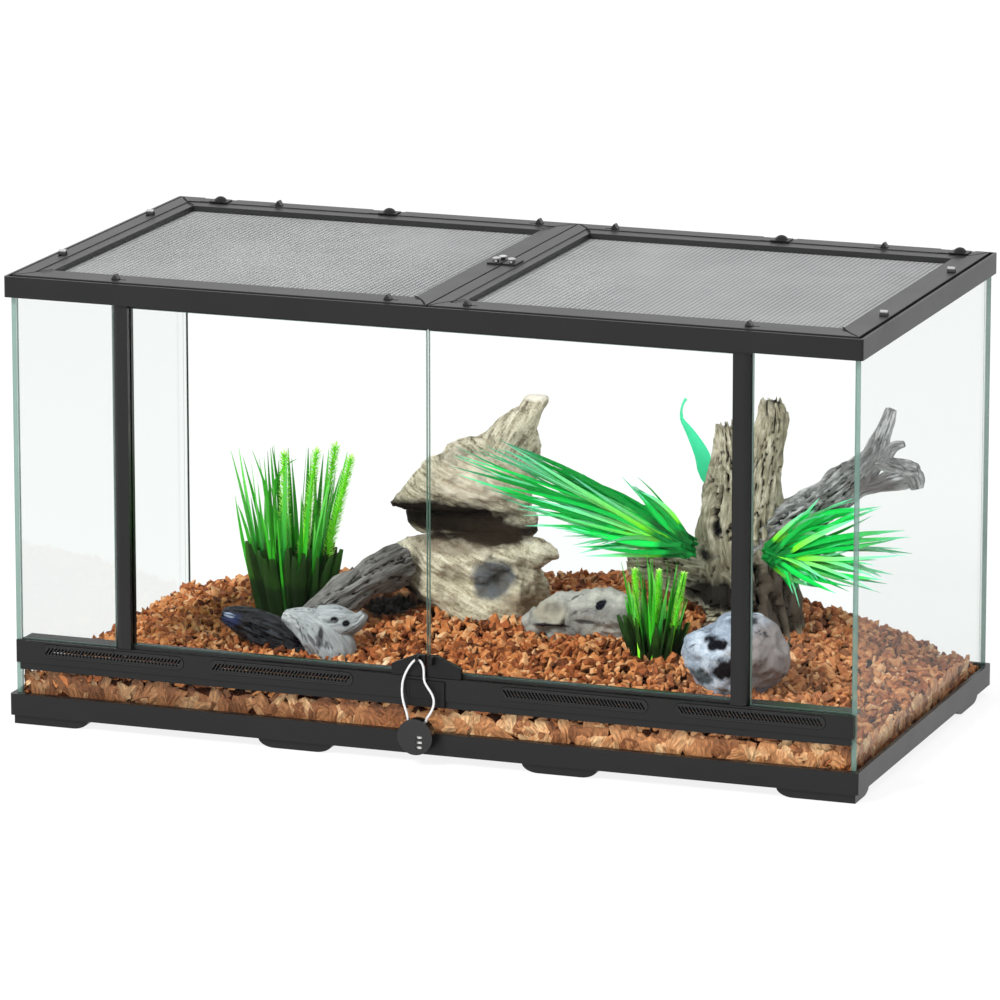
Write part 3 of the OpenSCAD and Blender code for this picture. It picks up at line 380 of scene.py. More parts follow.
paint = new_paint("white_floor")
matt = paint.node("ShaderNodeBsdfDiffuse", {"Color": (0.95, 0.95, 0.95, 1)})
glow = paint.node("ShaderNodeEmission", {"Color": (1, 1, 1, 1), "Strength": 1.0})
share = seen_directly(paint) * 0.86
floor_paint = paint.surface(paint.node("ShaderNodeMixShader", [share, matt, glow]))
floor = bpy.data.objects.new("floor", mesh_of("floor", [
    (-30000, -30000, -0.4), (30000, -30000, -0.4), (30000, 30000, -0.4), (-30000, 30000, -0.4)],
    [(0, 1, 2, 3)], floor_paint))
scene.collection.objects.link(floor)


def softbox(name, place, aim, size, power):
    lamp = bpy.data.lights.new(name, "AREA")
    lamp.shape, lamp.size, lamp.energy = "DISK", size, power
    holder = bpy.data.objects.new(name, lamp)
    holder.location = place
    holder.rotation_euler = (Vector(place) - Vector(aim)).to_track_quat("Z", "Y").to_euler()
    scene.collection.objects.link(holder)
    holder.visible_glossy = False


softbox("key_lamp", (-1.8, -3.6, 3.4), (0, 0, 0.2), 1.6, 330)
softbox("top_lamp", (0.6, 0.4, 4.6), (0, 0, 0.2), 3.0, 60)
scene.view_settings.view_transform = "Standard"
scene.cycles.transparent_max_bounces = 32
print("studio ready")

# %% [markdown]
# ## Moulded plastic
# The frames, doors and lids are injection moulded. Such plastic is near black, with a fine
# spark-eroded grain that spreads the highlights. Two small noises give the grain and the
# slightly uneven shine, so one recipe serves all the parts, with its own shade and gloss.

# %% Plastics
def moulded(name, shade, rough, grain=0.25, specular=0.5):
    paint = new_paint(name)
    fine = paint.noise(paint.place(), 2600.0, 2.0)
    wide = paint.noise(paint.place(), 14.0, 3.0)
    colour = paint.blend(wide, rgb(*(shade - 3,) * 3), rgb(*(shade + 4,) * 3))
    return paint.finish(colour, rough + 0.10 * (wide - 0.5) + 0.06 * (fine - 0.5),
                  normal=paint.bump(fine, grain, 0.0002), specular=specular)


frame_plastic = moulded("frame_plastic", 18, 0.34, specular=0.28)
strip_plastic = moulded("strip_plastic", 19, 0.38, specular=0.26)
dark_plastic = moulded("dark_plastic", 20, 0.40, specular=0.35)
lid_plastic = moulded("lid_plastic", 34, 0.42, specular=0.45)
clip_plastic = moulded("clip_plastic", 30, 0.36, specular=0.6)
grip_plastic = moulded("grip_plastic", 16, 0.46, specular=0.22)
pale_plastic = moulded("pale_plastic", 150, 0.40)
lock_plastic = moulded("lock_plastic", 14, 0.16, grain=0.04)


def highlighted_top_plastic(name, low, high, top_from, rough=0.42):
    """Plastic that is paler above a height in mm: a painted highlight on the tops, where light from
    above falls.
    """
    paint = new_paint(name)
    height = paint.axis(paint.point(), 2)
    fine = paint.noise(paint.place(), 900.0, 3.0)
    top_highlight = paint.ramp((height - top_from * mm) * 400.0 + (fine - 0.5) * 0.4, (0.2, 0.0), (0.8, 1.0))
    return paint.finish(paint.blend(top_highlight, rgb(low, low, low), rgb(high, high, high)), rough,
                  normal=paint.bump(fine, 0.2, 0.0002))


seal_dark = moulded("seal_dark", 8, 0.7, grain=0.1, specular=0.1)
# The tops of the latch plate and of the side clips are painted pale grey: a painted highlight.
latch_top_highlight_plastic = highlighted_top_plastic("latch_top_highlight_plastic", 24, 164, 472.3)
side_clip_top_highlight_plastic = highlighted_top_plastic("side_clip_top_highlight_plastic", 26, 150, 471.5)
seal_rubber = moulded("seal_rubber", 36, 0.62, grain=0.1, specular=0.2)
print("plastics ready")

# %% [markdown]
# ## Rounding the moulded parts
# No moulded edge is sharp: it has a small radius that draws a thin light line along the
# part. Each solid's triangles are first merged into flat faces. Then every long edge between
# two faces is bevelled, and the normals are weighted so that the flats stay flat.

# %% Dress the solids of the case
def flat_shaded(mesh):
    """Smooth bevels between flats that stay flat."""
    return baked(smooth(mesh, 38), ("WEIGHTED_NORMAL", {"keep_sharp": True, "weight": 80}))


def dressed(name, nodes, body, slot, material, radius, shortest=5.0):
    """The solids with each edge over shortest (mm) that sticks out bevelled."""
    work = bmesh.new()
    for node in nodes:
        work.from_mesh(frame["nodes"][node].data)
    bmesh.ops.remove_doubles(work, verts=work.verts, dist=2e-6)
    bmesh.ops.dissolve_limit(
        work, angle_limit=math.radians(1.2), verts=work.verts, edges=work.edges)
    def sharp(edge):
        return len(edge.link_faces) == 2 and edge.calc_face_angle(0) > math.radians(50) and (
            edge.calc_length() > shortest * mm) and edge.is_convex
    keep = [e for e in work.edges if sharp(e)]
    bmesh.ops.bevel(work, geom=keep, offset=radius * mm, segments=2, profile=0.6, affect="EDGES",
                    clamp_overlap=True)
    piece(name, flat_shaded(written(work, name, material)), body, slot, *nodes)


dressed("base_moulding", ["base_frame"], "terrarium", "black_plastic", frame_plastic, 0.9)
dressed("feet_mouldings", ["feet"], "terrarium", "dark_plastic", frame_plastic, 0.8, shortest=8)
dressed("top_moulding", ["top_frame"], "terrarium", "black_plastic", frame_plastic, 0.8)
dressed("cross_bar_moulding", ["cross_bar"], "terrarium", "dark_plastic", dark_plastic, 1.0)
dressed("label_plate", ["strip_plate"], "terrarium", "dark_plastic", grip_plastic, 0.4, shortest=4)
for side in ("left", "right"):
    door = f"{side}_door"
    dressed(f"{door}_post", [f"{door}_stile"], door, "black_plastic", frame_plastic, 0.6)
    dressed(
        f"{door}_grip", [f"{door}_handle"], door, "dark_plastic", grip_plastic, 0.8, shortest=2.5)
    dressed(
        f"{side}_lid_moulding", [f"{side}_lid_frame"], f"{side}_lid", "lid_plastic", lid_plastic,
        0.4, shortest=30)
    dressed(
        f"{side}_latch_base", [f"{side}_latch_plate"], f"{side}_lid", "dark_plastic", latch_top_highlight_plastic,
        0.4, shortest=3)
    dressed(f"{side}_latch_knob", [f"{side}_latch_slider"], f"{side}_latch_slider", "grey_plastic",
            pale_plastic, 0.2, shortest=2)
    for i in range(1, 7):
        dressed(f"{side}_lid_clip_{i}", [f"{side}_clip_{i}"], f"{side}_clip_{i}", "dark_plastic",
                clip_plastic if i < 5 else side_clip_top_highlight_plastic, 0.35, shortest=0.9)
for i in range(1, 5):
    dressed(f"cable_slide_{i}", [f"cable_shutter_{i}"], f"cable_shutter_{i}", "dark_plastic",
            strip_plastic, 0.2, shortest=3)

# %% [markdown]
# ## Vent strip
# The strip is one long moulding with four windows. A flat curve makes it best: its outline
# and the windows are plain closed lines, and the curve's own bevel rounds every edge alike.
# Boxes behind it form the lip, the body and the ledge. A dark sheet behind the windows is painted
# shade, so that they look as dark as the shaded channel inside the strip.

# %% Vent strip
def flat_part(name, loops, y0, y1, radius, material):
    """A plate that stands upright between two depths, from outlines in (x, z)."""
    line = bpy.data.curves.new(name, "CURVE")
    line.dimensions = "2D"
    line.fill_mode = "BOTH"
    line.extrude = ((y1 - y0) / 2 - radius) * mm
    line.bevel_depth = radius * mm
    line.bevel_resolution = 2
    line.offset = -radius * mm
    for loop in loops:
        spline = line.splines.new("POLY")
        spline.points.add(len(loop) - 1)
        for point, (x, z) in zip(spline.points, loop):
            point.co = (x * mm, z * mm, 0, 1)
        spline.use_cyclic_u = True
    mesh = evaluated(on_trial(line))
    mesh.transform(Matrix.Translation((0, (y0 + y1) / 2 * mm, 0))
                   @ Matrix.Rotation(math.pi / 2, 4, "X"))
    mesh.materials.clear()
    mesh.materials.append(material)
    return mesh


def block(x0, x1, y0, y1, z0, z1, radius, material):
    """A box with rounded edges."""
    work = bmesh.new()
    bmesh.ops.create_cube(work, size=1)
    for v in work.verts:
        v.co = ((x0, x1)[v.co.x > 0] * mm, (y0, y1)[v.co.y > 0] * mm, (z0, z1)[v.co.z > 0] * mm)
    bmesh.ops.bevel(work, geom=work.edges[:], offset=radius * mm, segments=2, profile=0.6,
                    affect="EDGES")
    return written(work, "block", material)


def joined(name, meshes):
    """One mesh from several that share their materials."""
    work = bmesh.new()
    for mesh in meshes:
        work.from_mesh(mesh)
    return written(work, name, *meshes[0].materials)


def stadium(cx, cz, length, height, steps=12):
    """The outline of a slot with round ends."""
    r = height / 2
    turn = [math.pi * i / steps for i in range(steps + 1)]
    return [(cx + length / 2 - r + r * math.sin(t), cz - r * math.cos(t)) for t in turn] + [
        (cx - length / 2 + r - r * math.sin(t), cz + r * math.cos(t)) for t in turn]


strip_y = front_y + 4
foot_z, low_z, ledge_z, top_z = 57.5, 65, 84.5, 88.5
face_x, body_x, end_x = 448.7, 445.3, 440
vent_z = foot_z + 21.7
vent_places = (-341.5, -157, 157, 341.5)


def windowed(name, half, length, height, *depths_and_radius):
    """An upright plate with the four windows in it."""
    edge = [(-half, low_z), (half, low_z), (half, top_z), (-half, top_z)]
    windows = [stadium(x, vent_z, length, height) for x in vent_places]
    return flat_part(name, [edge] + windows, *depths_and_radius, strip_plastic)


# A dark, partly see-through sheet behind the four windows: painted shade, so that the windows look
# dark.
paint = new_paint("vent_shade_cloth")
threads = paint.noise(paint.place(), 2200.0, 1.0)
vent_shade_cloth = paint.finish(rgb(22, 22, 23), 0.8, specular=0.1,
                           alpha=paint.ramp(threads, (0.44, 1.0), (0.54, 0.8)))
strip_face = windowed("strip_face", face_x, 156.4, 14.1, strip_y, strip_y + 3, 0.35)
strip_back = windowed("strip_back", body_x, 152.8, 10.5, strip_y + 3, strip_y + 16, 0.1)
vent_shade_plates = joined("vent_shade_sheet", [
    block(x - 75.5, x + 75.5, strip_y + 15.2, strip_y + 15.8, vent_z - 4.6, vent_z + 4.6, 0.1,
          strip_plastic) for x in vent_places])
for face in vent_shade_plates.polygons:
    face.material_index = 1
strip_face.materials.append(vent_shade_cloth)
strip = joined("vent_strip_moulding", [strip_face, strip_back, vent_shade_plates] + [
    block(*sizes, strip_plastic) for sizes in (
        (-face_x, -end_x, strip_y + 2.6, front_y + 8.8, low_z, top_z, 0.3),
        (end_x, face_x, strip_y + 2.6, front_y + 8.8, low_z, top_z, 0.3),
        (-body_x, body_x, strip_y + 1.5, front_y + 9.3, foot_z, low_z + 0.2, 0.4),
        (-body_x, body_x, front_y + 13.7, strip_y + 16, foot_z, low_z + 0.2, 0.4),
        (-body_x, body_x, strip_y + 15.9, strip_y + 32, ledge_z, top_z, 0.6))])
strip = flat_shaded(strip)
piece("vent_strip_moulding", strip, "terrarium", "black_plastic", "vent_strip_base",
      "vent_strip_posts", "vent_strip_top")
repaint("vent_grilles", dark_plastic)
print("strip faces", len(strip.polygons))

# %% [markdown]
# ## Float glass
# A clear pane is seen by its edges and its reflections. The large faces let everything
# through and add a little mirror at slanting angles. The cut edges are another material,
# because light that enters the pane leaves there, pale green from the iron in the glass.
# Each pane has ground arrises, which a small bevel gives. Black silicone holds the back pane,
# so the bead shows as a dark line at its left end.

# %% Glass panes
def glass_face(name, tint, shine):
    """Lets the light through, tinted, with a share of mirror that grows at a slant."""
    paint = new_paint(name)
    slant = paint.node("ShaderNodeFresnel", {"IOR": 1.45})
    through = paint.node("ShaderNodeBsdfTransparent", {"Color": (*tint, 1)})
    mirror = paint.node("ShaderNodeBsdfGlossy", {"Color": (1, 1, 1, 1), "Roughness": 0.0})
    return paint.surface(paint.node("ShaderNodeMixShader", [slant * shine, through, mirror]))


clear_glass = glass_face("clear_glass", (0.985, 0.992, 0.988), 0.05)
side_clear = glass_face("side_glass", (0.935, 0.945, 0.942), 0.08)
paint = new_paint("glass_edge")
cloud = paint.noise(paint.place((1, 1, 0.2)), 60.0, 3.0)
edge_colour = paint.blend(cloud, rgb(74, 98, 90), rgb(108, 134, 126))
lit = paint.node("ShaderNodeBsdfPrincipled", {"Base Color": edge_colour, "Roughness": 0.3,
                                              "Specular IOR Level": 0.25})
clear = paint.node("ShaderNodeBsdfTransparent", {"Color": (0.50, 0.62, 0.58, 1)})
glass_edge = paint.surface(paint.node("ShaderNodeMixShader", [0.7, clear, lit]))


def pane(x0, x1, y0, y1, z0, z1, face_glass, arris=0.5):
    """A pane with bevelled edges. The two large faces are glass, the rest is edge."""
    size = (x1 - x0, y1 - y0, z1 - z0)
    thin = size.index(min(size))
    mesh = block(x0, x1, y0, y1, z0, z1, arris, face_glass)
    mesh.materials.append(glass_edge)
    mesh.materials.append(seal_rubber)
    at_back = y1 > 230
    for face in mesh.polygons:
        face.material_index = 0 if abs(face.normal[thin]) > 0.99 else 1
        if at_back and thin == 0 and x0 < 0 and face.normal.y > 0.5:
            face.material_index = 0
        if at_back and thin == 1 and abs(face.normal.x) > 0.5:
            face.material_index = 2 if face.normal.x < 0 else 0
        if thin == 1 and face.normal.z < -0.5:
            face.material_index = 2
    return mesh


def glass_piece(name, body, node, *boxes, face_glass=clear_glass):
    return piece(name, joined(name, [pane(*b, face_glass) for b in boxes]), body, "glass", node)


pane_y = (front_y + 9.5, front_y + 13.5)
glass_foot, glass_top = 14, 451.8
case_x, side_x = (-body_x, body_x), (445.5, 450.5)
side_sizes = (-216, 235.5, glass_foot, glass_top)
glass_piece("bottom_pane", "terrarium", "bottom_glass", (*case_x, -211.3, 230.3, glass_foot, 19))
glass_piece("back_pane", "terrarium", "back_glass", (*case_x, 230.5, 235.5, glass_foot, glass_top))
glass_piece("side_panes", "terrarium", "side_glass", (-side_x[1], -side_x[0], *side_sizes),
            (*side_x, *side_sizes), face_glass=side_clear)
glass_piece(
    "low_front_pane", "terrarium", "front_lower_glass", (*case_x, *pane_y, glass_foot, 64.8))
glass_piece("fixed_front_panes", "terrarium", "front_side_panes",
            (-body_x, -339.9, *pane_y, top_z + 0.2, glass_top),
            (339.9, body_x, *pane_y, top_z + 0.2, glass_top))
for side, x0, x1 in (("left", -326.8, -1), ("right", 1, 326.8)):
    glass_piece(f"{side}_door_pane", f"{side}_door", f"{side}_door_glass",
                (x0, x1, *pane_y, 92.2, 442.8))
    repaint(f"{side}_door_seals", seal_rubber)
print("panes ready")

# %% [markdown]
# ## Metal parts
# Bright steel makes the hinge pins and the lock's axle. The lids hold a fine steel mesh.

# %% Steel
paint = new_paint("bright_steel")
drawn = paint.noise(paint.place((1, 1, 0.05)), 900.0, 2.0)
bright_steel = paint.finish(rgb(196, 196, 198), 0.24 + 0.12 * drawn, metal=1.0,
                      normal=paint.bump(drawn, 0.15, 0.0001))
paint = new_paint("mesh_wire")
mottle = paint.noise(paint.place(), 40.0, 3.0)
# Darker lines run along the cloth every few millimetres, broken up by a slanted noise: painted
# shade of the rows of wires.
line_pitch = 5.2
across = paint.axis(paint.point(), 0)
ridge = paint.node("ShaderNodeMath", [across * (2000 * math.pi / line_pitch)], operation="SINE")
patchy = paint.noise(paint.turned(35, (5.0, 5.0, 14.0)), 1.0, 2.0)
lines = paint.ramp(ridge * 0.5 + patchy * 0.7 + 0.1, (0.3, 0.0), (0.95, 1.0))
wire_tone = paint.blend(mottle, rgb(152, 153, 153), rgb(167, 168, 168))
mesh_wire = paint.finish(paint.blend(lines, wire_tone, rgb(112, 113, 114)), 0.5, metal=0.2)
for node in ("left_door_pins", "right_door_pins", "lock_axle"):
    repaint(node, bright_steel)
print("metal parts ready")

# %% [markdown]
# ## Lid mesh
# Hundreds of wires are a job for Geometry Nodes: a row of points, one wire on each point, and
# the same again crosswise a wire's thickness lower. The cloth is close across the lid and
# open along it, so the wires from front to back are the ones that show. The tree has named
# inputs for both pitches, the wire and the size of the cloth.

# %% Lid mesh
class Geometry(Paint):
    """A Geometry Nodes tree with named inputs."""

    def __init__(self, name, **sizes):
        self.tree = bpy.data.node_groups.new(name, "GeometryNodeTree")
        face = self.tree.interface
        face.new_socket("Geometry", in_out="INPUT", socket_type="NodeSocketGeometry")
        self.ids = {}
        for key, (kind, value) in sizes.items():
            made = face.new_socket(key.replace("_", " ").capitalize(), in_out="INPUT",
                                   socket_type="NodeSocket" + kind)
            made.default_value = value
            self.ids[key] = made.identifier
        face.new_socket("Geometry", in_out="OUTPUT", socket_type="NodeSocketGeometry")
        self.start = self.tree.nodes.new("NodeGroupInput")

    def input(self, key):
        return Term(self, self.start.outputs[key.replace("_", " ").capitalize()])

    def geometry(self):
        return Term(self, self.start.outputs["Geometry"])

    def join(self, parts):
        both = self.tree.nodes.new("GeometryNodeJoinGeometry")
        for part in parts:
            self.tree.links.new(part.socket, both.inputs[0])
        return Term(self, both.outputs[0])

    def random(self, kind, low, high, step):
        """A random value for each point, from a step of the tree's seed."""
        first, out = {"FLOAT_VECTOR": (0, 0), "FLOAT": (2, 1), "INT": (4, 2)}[kind]
        return self.node("FunctionNodeRandomValue", {
            first: low, first + 1: high, "Seed": self.input("seed") + float(step)},
            out=out, data_type=kind)

    def close(self, geometry, material):
        real = self.node("GeometryNodeRealizeInstances", [geometry])
        painted = self.node("GeometryNodeSetMaterial", {"Geometry": real, "Material": material})
        end = self.tree.nodes.new("NodeGroupOutput")
        self.tree.links.new(painted.socket, end.inputs[0])

    def grow(self, mesh, **values):
        """Runs the tree on a mesh and gives the result as a plain mesh."""
        trial = on_trial(mesh)
        modifier = trial.modifiers.new("tree", "NODES")
        modifier.node_group = self.tree
        for key, value in values.items():
            modifier[self.ids[key]] = value
        return evaluated(trial)


warp_pitch, weft_pitch, wire_size = 0.0026, 0.0014, 0.00045
cloth = Geometry("wire_cloth", warp_pitch=("Float", warp_pitch), weft_pitch=("Float", weft_pitch),
                 wire=("Float", wire_size), width=("Float", 0.4), depth=("Float", 0.38))


def wires(pitch_name, count_size, long_size, over):
    """A row of parallel wires: spaced along one size and as long as the other."""
    pitch, wire = cloth.input(pitch_name), cloth.input("wire")
    across, along = cloth.input(count_size), cloth.input(long_size)
    rod = cloth.node("GeometryNodeMeshCylinder", {"Vertices": 6, "Radius": wire * 0.5,
                                                  "Depth": along})
    first, rise = across * -0.5 + pitch * 0.5, wire * (0.45 if over else -0.45)
    lay = cloth.node("ShaderNodeCombineXYZ", [first, 0.0, rise] if over else [0.0, first, rise])
    move = cloth.node("ShaderNodeCombineXYZ", [pitch, 0.0, 0.0] if over else [0.0, pitch, 0.0])
    row = cloth.node("GeometryNodeMeshLine", {"Count": across / pitch, "Start Location": lay,
                                              "Offset": move}, mode="OFFSET")
    turn = (math.pi / 2, 0, 0) if over else (0, math.pi / 2, 0)
    return cloth.node("GeometryNodeInstanceOnPoints", {"Points": row, "Instance": rod,
                                                       "Rotation": turn})


cloth.close(cloth.join([wires("warp_pitch", "width", "depth", True),
                        wires("weft_pitch", "depth", "width", False)]), mesh_wire)
for side in ("left", "right"):
    low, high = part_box(f"{side}_lid_mesh")
    woven = cloth.grow(bpy.data.meshes.new("start"), warp_pitch=warp_pitch, weft_pitch=weft_pitch,
                       wire=wire_size, width=high.x - low.x, depth=high.y - low.y)
    woven.transform(Matrix.Translation((low + high) / 2))
    piece(f"{side}_lid_cloth", smooth(woven, 60), f"{side}_lid", "wire_mesh", f"{side}_lid_mesh")
    print(side, "cloth faces", len(woven.polygons))

# %% [markdown]
# The rails of a lid meet at mitred corners, where a fine dark line shows. A thin strip lies
# along each mitre, from the corner of the opening to the corner of the lid.

# %% Lid mitres
lid_top = 469.0
near_and_far = (27, 2.5), (420, 447)
corners = [(x, y) for y in ((-179, -216.5), (194, 231.5)) for x in near_and_far]
for side, sign in (("left", -1), ("right", 1)):
    points, faces = [], []
    for (inner_x, outer_x), (inner_y, outer_y) in corners:
        a = Vector((sign * inner_x, inner_y, 0))
        b = Vector((sign * outer_x, outer_y, 0))
        bow = (b - a).cross(Vector((0, 0, 1))).normalized()
        row = len(points)
        for t in (0, 0.25, 0.5, 0.75, 1):
            here = a.lerp(b, t) + bow * (2.0 * math.sin(math.pi * t) * sign)
            for off, rise in ((-1.2, 0.02), (0, 0.12), (1.2, 0.02)):
                p = here + bow * off
                points.append((p.x, p.y, lid_top + rise))
        for k in range(4):
            c = row + 3 * k
            faces += [(c, c + 3, c + 4, c + 1), (c + 1, c + 4, c + 5, c + 2)]
    seam = mesh_of(f"{side}_lid_seams", points, faces, seal_dark)
    for face in seam.polygons:
        if face.normal.z < 0:
            face.flip()
    piece(f"{side}_lid_seams", seam, f"{side}_lid", "dark_plastic")

# %% [markdown]
# ## Lock
# The lock is a flat round shell of gloss plastic with a slightly domed edge, and three
# number wheels on one axle. Its edges have a generous radius.

# %% Lock
for name, node in (("lock_front_shell", "lock_body"), ("lock_back_shell", "lock_back")):
    dressed(name, [node], "cable_lock", "lock_shell", lock_plastic, 0.5, shortest=1.9)
paint = new_paint("wheel_plastic")
dust = paint.noise(paint.place(), 700.0, 2.0)
wheel_plastic = paint.finish(paint.blend(dust, rgb(222, 222, 218), rgb(244, 244, 240)), 0.35)
for i in (1, 2, 3):
    dressed(f"counting_wheel_{i}", [f"number_wheel_{i}"], f"number_wheel_{i}", "wheel_white",
            wheel_plastic, 0.15, shortest=0.3)
print("lock ready")

# %% [markdown]
# ## Bark floor
# The floor is a deep layer of loose bark. One dark body fills the layer, painted near black as
# the shade in the gaps between the chips, and chunks of bark lie over its top and against the
# panes. A chunk is the hull of a few points on a ball that is pressed towards a box, so it has
# flat broken faces. Geometry Nodes scatter the chunks: the tree picks a shape for each point,
# turns and tilts it, and stores a tint that the material reads. Points are seeded, so that each
# run lays the same floor.

# %% Bark
inner_low, inner_high = Vector((-445.0, -211.1, 19.4)), Vector((445.0, 230.2, 440))


def chunk(rng, length, width, thick, points=13, square=0.6):
    """Points and faces of a broken chunk, in millimetres."""
    work = bmesh.new()
    for _ in range(points):
        d = Vector([rng.gauss(0, 1) for _ in range(3)]).normalized()
        d = [math.copysign(abs(c) ** square, c) / 2 for c in d]
        work.verts.new((d[0] * length, d[1] * width, d[2] * thick))
    bmesh.ops.convex_hull(work, input=work.verts[:])
    for v in [v for v in work.verts if not v.link_faces]:
        work.verts.remove(v)
    work.verts.index_update()
    found = [v.co.copy() for v in work.verts], [tuple(v.index for v in f.verts) for f in work.faces]
    work.free()
    return found


def chip_shape(seed, length, width, thick):
    points, faces = chunk(random.Random(seed), length, width, thick)
    mesh = mesh_of(f"chip_{seed}", points, faces)
    keep_value(mesh, "grain", [c for p in points for c in p], "FLOAT_VECTOR")
    return mesh


def scatter_tree(name, shapes):
    """Scatters shapes over a surface, each with its own turn, tilt, size and tint."""
    tree = Geometry(name, per_square_metre=("Float", 1000.0), seed=("Int", 1), tilt=("Float", 0.3),
                    smallest=("Float", 0.8), largest=("Float", 1.2))
    up = tree.node("GeometryNodeInputNormal")
    not_under = tree.axis(up, 2) + tree.axis(up, 1).least(0.0) > -0.6
    spread = tree.node("GeometryNodeDistributePointsOnFaces", {
        "Mesh": tree.geometry(), "Selection": not_under, "Density": tree.input("per_square_metre"),
        "Seed": tree.input("seed")})
    facing = Term(tree, spread.socket.node.outputs["Rotation"])
    tilt = tree.input("tilt")
    low = tree.node("ShaderNodeCombineXYZ", [0.0 - tilt, 0.0 - tilt, 0.0])
    high = tree.node("ShaderNodeCombineXYZ", [tilt, tilt, 6.283])
    turn = tree.node("FunctionNodeEulerToRotation", [tree.random("FLOAT_VECTOR", low, high, 1)])
    turned = tree.node("FunctionNodeRotateRotation", [facing, turn], rotation_space="LOCAL")
    size = tree.random("FLOAT", tree.input("smallest"), tree.input("largest"), 2)
    pile = tree.join([tree.node("GeometryNodeObjectInfo", {"Object": shape, "As Instance": True},
                                out="Geometry") for shape in shapes])
    laid = tree.node("GeometryNodeInstanceOnPoints", {
        "Points": spread, "Instance": pile, "Pick Instance": True, "Rotation": turned,
        "Instance Index": tree.random("INT", 0, len(shapes) - 1, 3), "Scale": size})
    return tree, tree.node("GeometryNodeStoreNamedAttribute", {
        "Geometry": laid, "Name": "tint", "Value": tree.random("FLOAT", 0.0, 1.0, 4)},
        data_type="FLOAT", domain="INSTANCE")


print("room inside, mm", [round(side, 1) for side in inner_high - inner_low])

# %% [markdown]
# Bark is brown with a paler fibre, and no two chips match. The tint that is stored on each
# chip picks its tone, and a noise that is drawn out along the grain gives the fibre.

# %% Bark finishes
def fibres(paint, stretch, detail, rough=0.5):
    """Noise drawn out along the grain that is stored on the mesh."""
    return paint.noise(paint.vectors("MULTIPLY", paint.stored("grain", "Vector"), stretch), 1.0,
                       detail, rough)


paint = new_paint("bark_chip")
fibre = fibres(paint, (90.0, 600.0, 600.0), 3.0)
spots = paint.noise(paint.place(), 240.0, 3.0)
fields = paint.noise(paint.place(), 16.0, 2.0)
tone = paint.ramp(
    paint.stored("tint") * 0.7 + spots * 0.5 + fields * 0.35 - 0.29, (0.0, rgb(48, 24, 14)),
    (0.16, rgb(112, 62, 34)), (0.38, rgb(178, 100, 56)), (0.60, rgb(214, 138, 80)),
    (0.80, rgb(234, 176, 122)), (0.97, rgb(252, 226, 188)))
chip_tone = paint.product(tone, paint.ramp(fibre, (0.3, 0.42), (0.6, 1.0)))
olive_shade = paint.product(chip_tone, rgb(150, 140, 96))
# Marks: an olive darker patch at the left back and a darker brown one at the left front, painted
# shade with an olive cast; a near-black spot, painted shadow under the low end of the rock; and a
# paler warm patch at the front right.
chip_tone = paint.marked(
    chip_tone,
    (olive_shade, (-330, 60, 96, 120, 190, 70), 1.0),
    (rgb(16, 11, 8), (-152, 76, 78, 50, 56, 30), 1.0),
    (rgb(244, 184, 140), (330, -40, 80, 170, 300, 70, 0.7), 0.22),
    (rgb(66, 48, 32), (-330, -10, 90, 90, 150, 60, 0.7), 0.35))
bark_chip = paint.finish(chip_tone, 0.72, normal=paint.bump(fibre, 0.6, 0.001), specular=0.3)

paint = new_paint("bark_slab")
fibre = fibres(paint, (110.0, 500.0, 500.0), 4.0, 0.6)
tone = paint.ramp(
    paint.stored("tint") * 0.6 + paint.noise(paint.place(), 60.0, 3.0) * 0.5 - 0.05,
    (0.08, rgb(66, 40, 26)), (0.33, rgb(150, 94, 60)), (0.6, rgb(204, 142, 94)),
    (0.85, rgb(246, 204, 154)))
tone = paint.marked(tone, (rgb(92, 60, 40), (-330, -210, 50, 300, 60, 60, 0.6), 0.6))
bark_slab = paint.finish(paint.product(tone, paint.ramp(fibre, (0.32, 0.35), (0.62, 1.0))), 0.7,
                         normal=paint.bump(fibre, 0.8, 0.0015), specular=0.3)

# The body under the chips is near black: painted shade in the gaps between the chips.
paint = new_paint("bark_gap_shade")
deep = paint.noise(paint.place(), 90.0, 4.0)
bark_gap_shade = paint.finish(paint.blend(deep, rgb(26, 12, 8), rgb(70, 36, 22)), 0.9,
                          normal=paint.bump(deep, 0.8, 0.004), specular=0.1)
print("bark finishes ready")

# %% Bark bed and chips
bed = frame["nodes"]["substrate"].data.copy()
work = bmesh.new()
work.from_mesh(bed)
bmesh.ops.remove_doubles(work, verts=work.verts, dist=2e-6)
work.to_mesh(bed)
work.free()
body = bed.copy()
bed_middle_y = 0.0095
for v in body.vertices:
    if v.co.z > 0.02:
        v.co.z -= 5.0 * mm
    v.co.x *= 0.995
    v.co.y = bed_middle_y + (v.co.y - bed_middle_y) * 0.985
body.materials.clear()
body.materials.append(bark_gap_shade)
piece("bark_bed", smooth(body, 60), "terrarium", "bark", "substrate")
chip_sizes = [(15, 9, 6), (12, 10, 6), (18, 8, 5), (10, 8, 6), (14, 12, 6), (20, 8, 6), (9, 7, 5)]
chips = [bpy.data.objects.new(f"chip_{i}", chip_shape(i, *sizes))
         for i, sizes in enumerate(chip_sizes)]
tree, laid = scatter_tree("bark_scatter", chips)
tree.close(laid, bark_chip)


strip_back_y, strip_under_z = -0.2035, 0.0572


def clamp_chips(mesh):
    """Chips lie against the panes and stay under the vent strip."""
    co = np.empty(len(mesh.vertices) * 3, np.float32)
    mesh.vertices.foreach_get("co", co)
    co = co.reshape(-1, 3)
    low, high = np.array(inner_low) * mm, np.array(inner_high) * mm
    co = np.clip(co, low, high)
    under_strip = co[:, 1] < strip_back_y
    co[under_strip, 2] = np.minimum(co[under_strip, 2], strip_under_z)
    mesh.vertices.foreach_set("co", co.ravel())
    mesh.update()
    return mesh


